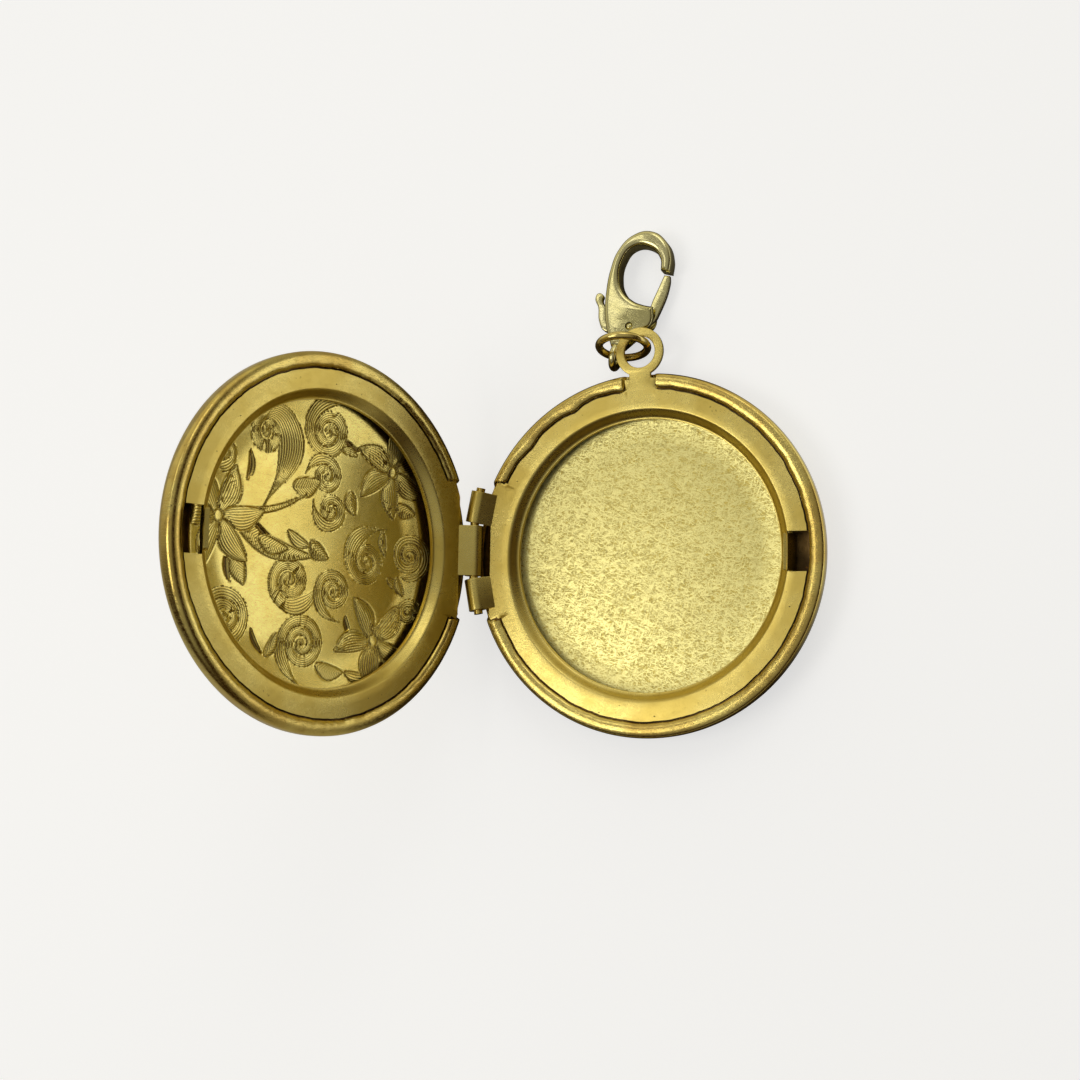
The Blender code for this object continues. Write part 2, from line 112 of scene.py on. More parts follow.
class Graph:
    """Adds nodes to a tree and wires their inputs by name."""

    def __init__(self, tree: bpy.types.NodeTree) -> None:
        """Keep the tree and clear it."""
        self.tree = tree
        tree.nodes.clear()

    def add(self, kind: str, settings: dict | None = None, **inputs: object) -> bpy.types.Node:
        """Add a node.

        Args:
            kind: its type name.
            settings: properties to set on it.
            inputs: sockets or values by input name, with _ for a space, or _0, _1 by place.

        Returns:
            The node.
        """
        node = self.tree.nodes.new(kind)
        for key, value in (settings or {}).items():
            setattr(node, key, value)
        for key, value in inputs.items():
            by_place = key[0] == "_" and key[1:].isdigit()
            socket = node.inputs[int(key[1:])] if by_place else node.inputs[key.replace("_", " ")]
            if isinstance(value, bpy.types.NodeSocket):
                self.tree.links.new(value, socket)
            else:
                socket.default_value = value
        return node

    def math(self, operation: str, first: object, second: object = 0.0) -> bpy.types.NodeSocket:
        """Result of a Math node."""
        return self.add("ShaderNodeMath", {"operation": operation}, _0=first, _1=second).outputs[0]

    def span(self, value: object, low: float, high: float, to_low: float = 0.0,
             to_high: float = 1.0) -> bpy.types.NodeSocket:
        """Map a value from one range to another, held at the ends.

        Args:
            value: socket or number to map.
            low: value that gives to_low.
            high: value that gives to_high.
            to_low: result at the low end.
            to_high: result at the high end.

        Returns:
            The result, eased between the ends.
        """
        node = self.add("ShaderNodeMapRange", {"interpolation_type": "SMOOTHSTEP"}, Value=value)
        limits = {"From Min": low, "From Max": high, "To Min": to_low, "To Max": to_high}
        for name, number in limits.items():
            node.inputs[name].default_value = number
        return node.outputs[0]

    def blend(self, share: object, first: object, second: object) -> bpy.types.NodeSocket:
        """Mix two colours by a share.

        Args:
            share: socket or number from 0 to 1.
            first: colour at a share of 0.
            second: colour at a share of 1.

        Returns:
            The mixed colour.
        """
        node = self.add("ShaderNodeMix", {"data_type": "RGBA"}, _0=share)
        for socket, value in ((node.inputs[6], first), (node.inputs[7], second)):
            if isinstance(value, bpy.types.NodeSocket):
                self.tree.links.new(value, socket)
            else:
                socket.default_value = (*value, 1.0)
        return node.outputs[2]


# ------------------------------------------------------------------- finishes


@dataclass(frozen=True)
class Finish:
    """A brass finish, from its colours down to its finest marks."""

    name: str
    colour: Colour
    shade: Colour
    roughness: float
    uneven: float = 0.08
    grain: float = 0.25
    hairs: float = 0.0
    hair_length: float = 0.8
    hair_width: float = 0.05
    hair_shine: float = 0.0
    tarnish: float = 0.25
    tarnish_and_groove_shade_colour: Colour = (0.16, 0.07, 0.015)
    grooves: bool = False
    groove_shade: float = 0.62
    groove_depth: float = 2.5
    cloud_scale: float = 0.22
    grain_scale: float = 9.0
    hair_gloss: float = 0.06
    hair_highlight_colour: Colour = (1.0, 0.90, 0.36)
    hair_angles: tuple[float, ...] = (4.0, -14.0, 27.0, 74.0, 141.0)
    bump_depth: float = 0.012

    def material(self, place: Matrix) -> bpy.types.Material:
        """Build the material for pieces that lie at a place.

        Args:
            place: matrix from the piece's own millimetres to the world's.

        Returns:
            The material.
        """
        name = f"{self.name}_{abs(hash_of(place)):04d}"
        if name in bpy.data.materials:
            return bpy.data.materials[name]
        material = bpy.data.materials.new(name)
        material.use_nodes = True
        graph = Graph(material.node_tree)
        coords = self.own_coordinates(graph, place)
        clouds = graph.add("ShaderNodeTexNoise", Vector=coords, Scale=self.cloud_scale,
                           Detail=3.0, Roughness=0.6).outputs[0]
        grain = graph.add("ShaderNodeTexNoise", Vector=coords, Scale=self.grain_scale,
                          Detail=3.0, Roughness=0.7).outputs[0]
        colour = graph.blend(graph.span(clouds, 0.35, 0.68), self.colour, self.shade)
        rough = graph.math("ADD", self.roughness - self.uneven, graph.math("MULTIPLY", clouds, self.uneven))
        rough = graph.math("ADD", rough, graph.math("MULTIPLY", grain, self.uneven))
        colour = graph.blend(self.tarnish_share(graph, coords), colour, self.tarnish_and_groove_shade_colour)
        height = graph.math("MULTIPLY", grain, self.grain)
        if self.hairs:
            hairs = self.hair_lines(graph, coords)
            height = graph.math("ADD", height, graph.math("MULTIPLY", hairs, self.hairs))
            rough = graph.math("ADD", rough, graph.math("MULTIPLY", hairs, -self.hair_gloss))
            # Painted highlight: the scratches are blended towards a pale colour, as if they caught the
            # light.
            colour = graph.blend(graph.math("MULTIPLY", hairs, self.hair_shine), colour, self.hair_highlight_colour)
        if self.grooves:
            line = self.cut_lines(graph)
            # Painted shade: the cut lines and motif edges are darkened towards the tarnish colour as shade
            # in the grooves.
            dark = graph.math("MULTIPLY", line, self.groove_shade)
            colour = graph.blend(dark, colour, self.tarnish_and_groove_shade_colour)
            height = graph.math("ADD", height, graph.math("MULTIPLY", line, -self.groove_depth))
        bump = graph.add("ShaderNodeBump", Height=height, Strength=1.0, Distance=self.bump_depth * MM)
        shader = graph.add("ShaderNodeBsdfPrincipled", Base_Color=colour, Metallic=1.0,
                           Roughness=rough, Normal=bump.outputs[0])
        graph.add("ShaderNodeOutputMaterial", Surface=shader.outputs[0])
        return material

    def own_coordinates(self, graph: Graph, place: Matrix) -> bpy.types.NodeSocket:
        """Object coordinates turned back into the piece's own millimetres.

        Args:
            graph: graph of the material.
            place: matrix from the piece's own millimetres to the world's.

        Returns:
            The coordinates.
        """
        back = place.inverted()
        node = graph.add("ShaderNodeTexCoord")
        mapping = graph.add("ShaderNodeMapping", Vector=node.outputs["Object"])
        mapping.inputs["Scale"].default_value = (1 / MM,) * 3
        mapping.inputs["Rotation"].default_value = back.to_euler()
        mapping.inputs["Location"].default_value = back.translation
        return mapping.outputs[0]

    def tarnish_share(self, graph: Graph, coords: bpy.types.NodeSocket) -> bpy.types.NodeSocket:
        """Soft brown patches with small dark specks.

        Args:
            graph: graph of the material.
            coords: the piece's own millimetres.

        Returns:
            Share of tarnish at each point.
        """
        patch = graph.add("ShaderNodeTexNoise", Vector=coords, Scale=0.45, Detail=6.0, Roughness=0.72)
        speck = graph.add("ShaderNodeTexNoise", Vector=coords, Scale=3.6, Detail=2.0, Roughness=0.5)
        soft = graph.span(patch.outputs[0], 0.56, 0.80, 0.0, self.tarnish)
        small = graph.span(speck.outputs[0], 0.70, 0.78, 0.0, min(1.0, self.tarnish * 2.2))
        return graph.math("MAXIMUM", soft, small)

    def cut_lines(self, graph: Graph) -> bpy.types.NodeSocket:
        """Fine lines cut along the motifs, and the motifs' own edges.

        Args:
            graph: graph of the material.

        Returns:
            Share of cut at each point.
        """
        phase = graph.add("ShaderNodeAttribute", {"attribute_name": "phase"}).outputs["Fac"]
        edge = graph.add("ShaderNodeAttribute", {"attribute_name": "edge"}).outputs["Fac"]
        wave = graph.math("COSINE", graph.math("MULTIPLY", phase, 2 * math.pi))
        return graph.math("MAXIMUM", graph.span(wave, 0.45, 1.0, 0.0, 0.8), graph.span(edge, 0.35, 1.0))

    def hair_lines(self, graph: Graph, coords: bpy.types.NodeSocket) -> bpy.types.NodeSocket:
        """Short fine scratches that lie in many directions.

        Args:
            graph: graph of the material.
            coords: the piece's own millimetres.

        Returns:
            Share of scratch at each point.
        """
        total = None
        for i, degrees in enumerate(self.hair_angles):
            mapping = graph.add("ShaderNodeMapping", {"vector_type": "TEXTURE"}, Vector=coords)
            mapping.inputs["Location"].default_value = (3.7 * i, 1.9 * i, 0.0)
            mapping.inputs["Rotation"].default_value = (0.0, 0.0, math.radians(degrees))
            mapping.inputs["Scale"].default_value = (self.hair_length, self.hair_width, self.hair_length)
            noise = graph.add("ShaderNodeTexNoise", Vector=mapping.outputs[0], Scale=1.0,
                              Detail=1.0, Roughness=0.5, Distortion=0.15)
            line = graph.span(noise.outputs[0], 0.52, 0.62)
            total = line if total is None else graph.math("MAXIMUM", total, line)
        return total


def hash_of(place: Matrix) -> int:
    """Short number that tells one place's materials from another's."""
    return int(sum(abs(v) * (i + 1) * 7 for i, row in enumerate(place) for v in row)) % 9973


@dataclass(frozen=True)
class Finishes:
    """Every finish on the locket."""

    floor: Finish = Finish("scratched_floor", (0.78, 0.62, 0.15), (0.72, 0.55, 0.12), 0.36,
                           hairs=0.7, hair_length=0.62, hair_width=0.055, hair_shine=1.0,
                           tarnish=0.04, grain=0.3)
    plate: Finish = Finish("satin_plate", (0.82, 0.66, 0.20), (0.73, 0.55, 0.13), 0.34,
                           hairs=0.12, tarnish=0.22, grain=0.35)
    bezel: Finish = Finish("burnished_bezel", (0.82, 0.66, 0.20), (0.66, 0.47, 0.12), 0.2,
                           hairs=0.25, hair_length=2.0, tarnish=0.38, grain=0.3)
    cover: Finish = Finish("stamped_brass", (0.94, 0.79, 0.25), (0.88, 0.69, 0.18), 0.24,
                           hairs=0.1, tarnish=0.15, grain=0.3, grooves=True)
    hinge: Finish = Finish("rolled_brass", (0.86, 0.66, 0.18), (0.74, 0.52, 0.12), 0.24,
                           hairs=0.2, tarnish=0.3)
    wire: Finish = Finish("ring_wire", (0.87, 0.70, 0.24), (0.72, 0.53, 0.15), 0.18,
                          hairs=0.15, tarnish=0.3)
    clasp: Finish = Finish("polished_clasp", (0.84, 0.77, 0.40), (0.72, 0.65, 0.28), 0.12,
                           uneven=0.05, hairs=0.12, tarnish=0.12, tarnish_and_groove_shade_colour=(0.2, 0.16, 0.06),
                           grain=0.12)
    # Painted shade: a near-black finish, with tarnish and scratches on it, stands in for the shade in the
    # space behind the ring plates and in the crevice along the crimped lip.
    inside: Finish = Finish("painted_shade_inside", (0.20, 0.12, 0.04), (0.05, 0.03, 0.012), 0.42,
                            hairs=0.8, hair_length=3.0, hair_width=0.16, tarnish=0.7)
    dirt: Finish = Finish("dark_specks", (0.10, 0.05, 0.015), (0.16, 0.09, 0.03), 0.6, tarnish=0.1)
    burr: Finish = Finish("bright_burr", (0.95, 0.80, 0.35), (0.8, 0.6, 0.2), 0.15, tarnish=0.3)


FINISH = Finishes()


# --------------------------------------------------------------------- meshes


@dataclass
class Cloth:
    """Vertices and faces of one closed surface or of several, in its own millimetres."""

    points: np.ndarray
    faces: list[tuple[int, ...]]
    kinds: np.ndarray | None = None
    marks: dict[str, np.ndarray] = field(default_factory=dict)

    def join(self, other: "Cloth") -> "Cloth":
        """Both surfaces in one mesh.

        Args:
            other: surface to add to this one.

        Returns:
            The two together, without their marks.
        """
        base = len(self.points)
        faces = list(self.faces) + [tuple(i + base for i in face) for face in other.faces]
        kinds = np.concatenate([self.kind_list(), other.kind_list()])
        return Cloth(np.vstack([self.points, other.points]), faces, kinds)

    def moved(self, place: Matrix) -> "Cloth":
        """The same surface at another place."""
        turned = self.points @ np.array(place.to_3x3()).T + np.array(place.translation)
        return Cloth(turned, self.faces, self.kinds, self.marks)

    def kind_list(self) -> np.ndarray:
        """Material number of each face."""
        return np.zeros(len(self.faces), int) if self.kinds is None else self.kinds

    def middles(self) -> np.ndarray:
        """Middle of each face."""
        return np.array([self.points[list(face)].mean(axis=0) for face in self.faces])


def cloth_of(mesh: bpy.types.Mesh) -> Cloth:
    """Read a Blender mesh, in metres, into millimetres.

    Args:
        mesh: the mesh to read.

    Returns:
        Its surface.
    """
    points = np.empty(len(mesh.vertices) * 3)
    mesh.vertices.foreach_get("co", points)
    return Cloth(points.reshape(-1, 3) / MM, [tuple(p.vertices) for p in mesh.polygons])


def piece(name: str, cloth: Cloth, place: Matrix, finishes: Sequence[Finish]) -> bpy.types.Object:
    """Make a finished object.

    Args:
        name: the object's name.
        cloth: its surface in its own millimetres.
        place: matrix to the world's millimetres.
        finishes: one for each face kind.

    Returns:
        The object, at the origin with its place in its mesh.
    """
    mesh = bpy.data.meshes.new(name)
    mesh.from_pydata((cloth.moved(place).points * MM).tolist(), [], cloth.faces)
    mesh.polygons.foreach_set("material_index", cloth.kind_list().astype(np.int32))
    for label, values in cloth.marks.items():
        layer = mesh.attributes.new(label, "FLOAT", "POINT")
        layer.data.foreach_set("value", values.astype(np.float32))
    shape = bmesh.new()
    shape.from_mesh(mesh)
    bmesh.ops.remove_doubles(shape, verts=shape.verts, dist=0.0005 * MM)
    bmesh.ops.recalc_face_normals(shape, faces=shape.faces)
    shape.to_mesh(mesh)
    shape.free()
    mesh.shade_smooth()
    mesh.set_sharp_from_angle(angle=SMOOTH_ANGLE)
    for finish in finishes:
        mesh.materials.append(finish.material(place))
    item = bpy.data.objects.new(name, mesh)
    bpy.context.scene.collection.objects.link(item)
    log.info("%s: %d faces", name, len(mesh.polygons))
    return item


def scratch_object(cloth: Cloth) -> bpy.types.Object:
    """Object in metres for a modifier to work on.

    Args:
        cloth: surface in millimetres.

    Returns:
        The object, linked to the scene.
    """
    mesh = bpy.data.meshes.new("work")
    mesh.from_pydata((cloth.points * MM).tolist(), [], cloth.faces)
    item = bpy.data.objects.new("work", mesh)
    bpy.context.scene.collection.objects.link(item)
    return item


def evaluated(item: bpy.types.Object) -> Cloth:
    """Surface of an object after its modifiers, the object then removed.

    Args:
        item: the object.

    Returns:
        Its surface in millimetres.
    """
    bpy.context.view_layer.update()
    depsgraph = bpy.context.evaluated_depsgraph_get()
    mesh = bpy.data.meshes.new_from_object(item.evaluated_get(depsgraph))
    result = cloth_of(mesh)
    bpy.data.meshes.remove(mesh)
    bpy.data.objects.remove(item, do_unlink=True)
    return result


def cut(body: Cloth, tools: Sequence[Cloth], operation: str = "DIFFERENCE") -> Cloth:
    """Exact Boolean of closed surfaces.

    Args:
        body: the surface to work on.
        tools: the surfaces taken from it or added to it.
        operation: DIFFERENCE or UNION.

    Returns:
        The result.
    """
    item = scratch_object(body)
    helpers = [scratch_object(tool) for tool in tools]
    for helper in helpers:
        step = item.modifiers.new("cut", "BOOLEAN")
        step.object, step.operation, step.solver = helper, operation, "EXACT"
    result = evaluated(item)
    for helper in helpers:
        bpy.data.objects.remove(helper, do_unlink=True)
    return result


def block(low: Sequence[float], high: Sequence[float]) -> Cloth:
    """Box between two corners, to cut with.

    Args:
        low: its lowest corner.
        high: its highest corner.

    Returns:
        The box.
    """
    corners = np.array([[(low, high)[(i >> k) & 1][k] for k in range(3)] for i in range(8)], float)
    faces = [(0, 2, 3, 1), (4, 5, 7, 6), (0, 1, 5, 4), (2, 6, 7, 3), (0, 4, 6, 2), (1, 3, 7, 5)]
    return Cloth(corners, faces)


def slab(outlines: Sequence[Outline], half: float, rounding: float, resolution: int = 8) -> Cloth:
    """Fill closed outlines and give them a thickness along Z with rounded edges.

    Args:
        outlines: closed lists of (x, y, corner), the first the outside.
        half: half the thickness.
        rounding: radius of the edges.
        resolution: points between two given ones.

    Returns:
        The closed surface.
    """
    curve = bpy.data.curves.new("slab", "CURVE")
    curve.dimensions = "2D"
    curve.fill_mode = "BOTH"
    curve.extrude = (half - rounding) * MM
    curve.bevel_depth = rounding * MM
    curve.bevel_resolution = 3
    curve.offset = -rounding * MM
    curve.resolution_u = resolution
    for outline in outlines:
        spline = curve.splines.new("BEZIER")
        spline.bezier_points.add(len(outline) - 1)
        spline.use_cyclic_u = True
        for knot, (x, y, corner) in zip(spline.bezier_points, outline):
            knot.co = (x * MM, y * MM, 0.0)
            kind = "VECTOR" if corner else "AUTO"
            knot.handle_left_type = knot.handle_right_type = kind
    item = bpy.data.objects.new("slab", curve)
    bpy.context.scene.collection.objects.link(item)
    bpy.context.view_layer.update()
    mesh = bpy.data.meshes.new_from_object(item)
    bpy.data.objects.remove(item, do_unlink=True)
    item = bpy.data.objects.new("slab", mesh)
    bpy.context.scene.collection.objects.link(item)
    item.modifiers.new("weld", "WELD").merge_threshold = 0.001 * MM
    return evaluated(item)


def revolve(rings: np.ndarray) -> Cloth:
    """Closed surface of revolution-like rings.

    Args:
        rings: array of shape (rings, steps, 3). The first and last ring are closed to a point.

    Returns:
        The surface.
    """
    count, steps, _ = rings.shape
    points = rings.reshape(-1, 3)
    after = np.roll(np.arange(steps), -1)
    faces: list[tuple[int, ...]] = []
    for k in range(count - 1):
        low, high = k * steps, (k + 1) * steps
        faces += [(low + i, low + j, high + j, high + i) for i, j in enumerate(after.tolist())]
    for ring, backwards in ((0, True), (count - 1, False)):
        middle = len(points)
        points = np.vstack([points, rings[ring].mean(axis=0)])
        base = ring * steps
        for i, j in enumerate(after.tolist()):
            faces.append((base + j, base + i, middle) if backwards else (base + i, base + j, middle))
    return Cloth(points, faces)


def disc_grid(count: int, radius: float) -> tuple[np.ndarray, list[tuple[int, ...]], np.ndarray]:
    """Even grid of quads over a disc.

    Args:
        count: quads along each side of the square that is bent into the disc.
        radius: the disc's radius.

    Returns:
        The flat points, the faces, and the edge points' numbers in turn from -45 degrees.
    """
    line = np.linspace(-1.0, 1.0, count + 1)
    a, b = np.meshgrid(line, line, indexing="ij")
    wide = np.abs(a) > np.abs(b)
    safe_a = np.where(a == 0, 1.0, a)
    safe_b = np.where(b == 0, 1.0, b)
    reach = np.where(wide, a, b)
    angle = np.where(wide, math.pi / 4 * b / safe_a, math.pi / 2 - math.pi / 4 * a / safe_b)
    flat = np.stack([reach * np.cos(angle), reach * np.sin(angle)], axis=-1).reshape(-1, 2) * radius
    size = count + 1
    faces = [(i * size + j, (i + 1) * size + j, (i + 1) * size + j + 1, i * size + j + 1)
             for i in range(count) for j in range(count)]
    rim = [count * size + j for j in range(count)]
    rim += [i * size + count for i in range(count, 0, -1)]
    rim += [j for j in range(count, 0, -1)]
    rim += [i * size for i in range(count)]
    return flat, faces, np.array(rim)


# ------------------------------------------------------------- geometry nodes


def new_tree(name: str, inputs: Sequence[tuple[str, str, object]]) -> tuple[bpy.types.NodeTree, Graph]:
    """Geometry node tree with named inputs and one geometry output.

    Args:
        name: the tree's name.
        inputs: (name, socket type, default) of each input after the geometry.

    Returns:
        The tree and a graph on it.
    """
    tree = bpy.data.node_groups.new(name, "GeometryNodeTree")
    tree.interface.new_socket("Geometry", in_out="INPUT", socket_type="NodeSocketGeometry")
    for label, kind, default in inputs:
        socket = tree.interface.new_socket(label, in_out="INPUT", socket_type=kind)
        if default is not None:
            socket.default_value = default
    tree.interface.new_socket("Geometry", in_out="OUTPUT", socket_type="NodeSocketGeometry")
    return tree, Graph(tree)


def finish_tree(graph: Graph, shape: bpy.types.NodeSocket, material: bpy.types.NodeSocket) -> None:
    """End a tree in real geometry with its material.

    Args:
        graph: graph of the tree.
        shape: geometry to end with.
        material: its material.
    """
    real = graph.add("GeometryNodeRealizeInstances", Geometry=shape).outputs[0]
    dressed = graph.add("GeometryNodeSetMaterial", Geometry=real, Material=material).outputs[0]
    graph.add("NodeGroupOutput", Geometry=dressed)


def wire_tree() -> bpy.types.NodeTree:
    """Tree that turns a path of edges into round wire with closed ends.

    Returns:
        The tree.
    """
    tree, graph = new_tree("wire", [("Radius", "NodeSocketFloat", 0.001),
                                    ("Sides", "NodeSocketInt", 16),
                                    ("Material", "NodeSocketMaterial", None)])
    start = graph.add("NodeGroupInput")
    path = graph.add("GeometryNodeMeshToCurve", Mesh=start.outputs["Geometry"]).outputs[0]
    section = graph.add("GeometryNodeCurvePrimitiveCircle", Resolution=start.outputs["Sides"],
                        Radius=start.outputs["Radius"]).outputs[0]
    wire = graph.add("GeometryNodeCurveToMesh", Curve=path, Profile_Curve=section,
                     Fill_Caps=True).outputs[0]
    finish_tree(graph, wire, start.outputs["Material"])
    return tree


def scatter_tree(name: str, along_path: bool) -> bpy.types.NodeTree:
    """Tree that sets small crumbs over a surface or along a path.

    Args:
        name: the tree's name.
        along_path: crumbs follow the edges, not the faces.

    Returns:
        The tree.
    """
    tree, graph = new_tree(name, [("Amount", "NodeSocketFloat", 1.0),
                                  ("Size", "NodeSocketFloat", 0.0001),
                                  ("Flatness", "NodeSocketFloat", 0.3),
                                  ("Seed", "NodeSocketInt", 1),
                                  ("Material", "NodeSocketMaterial", None)])
    start = graph.add("NodeGroupInput")
    seed = start.outputs["Seed"]
    if along_path:
        path = graph.add("GeometryNodeMeshToCurve", Mesh=start.outputs["Geometry"]).outputs[0]
        spread = graph.add("GeometryNodeCurveToPoints", {"mode": "COUNT"}, Curve=path,
                           Count=start.outputs["Amount"])
        rotation = graph.add("FunctionNodeRandomValue", {"data_type": "FLOAT_VECTOR"}, Seed=seed)
        rotation.inputs["Max"].default_value = (6.28, 6.28, 6.28)
        points, facing = spread.outputs["Points"], rotation.outputs["Value"]
    else:
        spread = graph.add("GeometryNodeDistributePointsOnFaces", Mesh=start.outputs["Geometry"],
                           Density=start.outputs["Amount"], Seed=seed)
        points, facing = spread.outputs["Points"], spread.outputs["Rotation"]
    crumb = graph.add("GeometryNodeMeshIcoSphere", Radius=start.outputs["Size"], Subdivisions=1).outputs[0]
    squash = graph.add("ShaderNodeCombineXYZ", X=1.0, Y=0.7, Z=start.outputs["Flatness"]).outputs[0]
    crumb = graph.add("GeometryNodeTransform", Geometry=crumb, Scale=squash).outputs[0]
    size = graph.add("FunctionNodeRandomValue", {"data_type": "FLOAT"}, Seed=seed)
    size.inputs[2].default_value, size.inputs[3].default_value = 0.3, 1.0
    placed = graph.add("GeometryNodeInstanceOnPoints", Points=points, Instance=crumb,
                       Rotation=facing, Scale=size.outputs[1]).outputs[0]
    finish_tree(graph, placed, start.outputs["Material"])
    return tree


def run_tree(tree: bpy.types.NodeTree, source: Cloth, values: dict[str, object],
             edges: Sequence[tuple[int, int]] = ()) -> Cloth:
    """Run a tree on a surface or path and take its result as a plain surface.

    Args:
        tree: the tree.
        source: the surface, or the points of a path.
        values: the tree's inputs by name.
        edges: the path's edges, if it is one.

    Returns:
        The result in millimetres.
    """
    item = scratch_object(source)
    if edges:
        item.data.clear_geometry()
        item.data.from_pydata((source.points * MM).tolist(), list(edges), [])
    step = item.modifiers.new(tree.name, "NODES")
    step.node_group = tree
    for socket in tree.interface.items_tree:
        if socket.in_out == "INPUT" and socket.name in values:
            step[socket.identifier] = values[socket.name]
    return evaluated(item)


def wire(tree: bpy.types.NodeTree, path: Sequence[Vector], radius: float, finish: Finish,
         sides: int = 20) -> Cloth:
    """Round wire along a list of points.

    Args:
        tree: the wire tree.
        path: points of the wire's centre line.
        radius: half the wire's thickness.
        finish: finish of the wire.
        sides: faces round it.

    Returns:
        Its surface.
    """
    points = Cloth(np.array([tuple(p) for p in path]), [])
    edges = [(i, i + 1) for i in range(len(path) - 1)]
    values = {"Radius": radius * MM, "Sides": sides, "Material": finish.material(Matrix())}
    return run_tree(tree, points, values, edges)


# ------------------------------------------------------------- stamped relief


class Veins(Enum):
    """How the lines lie on a leaf."""

    ALONG = "along"
    ACROSS = "across"
    SLIT = "slit"


@dataclass
class Relief:
    """Height of a stamped face above its floor, at a set of points."""

    x: np.ndarray
    y: np.ndarray
    line_pitch: float = 0.25
    line_depth: float = 0.05
    height: np.ndarray = field(init=False)
    edge: np.ndarray = field(init=False)
    phase: np.ndarray = field(init=False)

    def __post_init__(self) -> None:
        """Start from a plain face."""
        self.height = np.zeros_like(self.x)
        self.edge = np.zeros_like(self.x)
        self.phase = np.full_like(self.x, 0.5)

    def put(self, where: np.ndarray, dome: np.ndarray, edge: np.ndarray,
            phase: np.ndarray | float = 0.5) -> None:
        """Write a motif over what lies below it.

        Args:
            where: numbers of the points it covers.
            dome: its height there.
            edge: how near its cut edge each point is, 0 to 1.
            phase: where each point lies between its fine lines, which run at whole numbers.
        """
        line = (np.cos(2 * math.pi * phase) * 0.5 + 0.5) ** 1.5
        self.height[where] = dome - self.line_depth * np.maximum(line * 0.75, edge)
        self.edge[where] = edge
        self.phase[where] = phase

    def marks(self, extra: int) -> dict[str, np.ndarray]:
        """Marks for a mesh that starts with these points and has some more.

        Args:
            extra: number of points that follow, which are left plain.

        Returns:
            The marks by name.
        """
        return {"edge": np.concatenate([self.edge, np.zeros(extra)]),
                "phase": np.concatenate([self.phase, np.full(extra, 0.5)])}


@dataclass(frozen=True)
class Leaf:
    """Pointed leaf or petal."""

    x: float
    y: float
    angle: float
    length: float
    width: float
    veins: Veins = Veins.ALONG
    swell: float = 0.07

    def stamp(self, relief: Relief) -> None:
        """Press the leaf into the relief.

        Args:
            relief: the relief to press into.
        """
        angle = math.radians(self.angle)
        dx, dy = relief.x - self.x, relief.y - self.y
        along = (dx * math.cos(angle) + dy * math.sin(angle)) / self.length
        bend = 0.10 * self.length * np.sin(np.clip(along, 0, 1) * math.pi)
        across = -dx * math.sin(angle) + dy * math.cos(angle) - bend
        inside = (along > 0.0) & (along < 1.0)
        where = np.nonzero(inside)[0]
        s = along[where]
        half = self.width / 2 * np.sin(math.pi * s ** 0.85) ** 0.75 + 0.02
        share = across[where] / half
        keep = np.abs(share) < 1.15
        where, s, half, share = where[keep], s[keep], half[keep], share[keep]
        edge = np.clip(1.0 - np.abs(np.abs(share) - 1.0) * half / 0.09, 0.0, 1.0)
        body = np.clip(1.0 - share ** 2, 0.0, 1.0)
        if self.veins is Veins.SLIT:
            relief.put(where, -0.10 * body, np.where(np.abs(share) < 0.9, body ** 0.4, edge * 0.5))
            return
        lines = max(2, round(self.width / relief.line_pitch / 2))
        if self.veins is Veins.ALONG:
            phase = share * lines
        else:
            phase = (s * self.length - np.abs(share) * half * 0.9) / relief.line_pitch
        phase = np.where(np.abs(share) < 0.9, phase, 0.5)
        relief.put(where, self.swell * body ** 0.6, edge, phase)


@dataclass(frozen=True)
class Flower:
    """Flower of veined petals round a button."""

    x: float
    y: float
    petals: int
    start: float
    length: float
    button: float = 0.55

    def stamp(self, relief: Relief) -> None:
        """Press the petals, then the button over their roots.

        Args:
            relief: the relief to press into.
        """
        for i in range(self.petals):
            angle = self.start + 360.0 * i / self.petals
            reach = self.button * 0.6
            x = self.x + reach * math.cos(math.radians(angle))
            y = self.y + reach * math.sin(math.radians(angle))
            Leaf(x, y, angle, self.length, self.length * 0.46, swell=0.11).stamp(relief)
        far = np.hypot(relief.x - self.x, relief.y - self.y)
        where = np.nonzero(far < self.button)[0]
        ring = np.clip(1.0 - np.abs(far[where] - self.button * 0.85) / 0.08, 0.0, 1.0)
        relief.put(where, 0.05 + 0.04 * (1 - (far[where] / self.button) ** 2), ring)


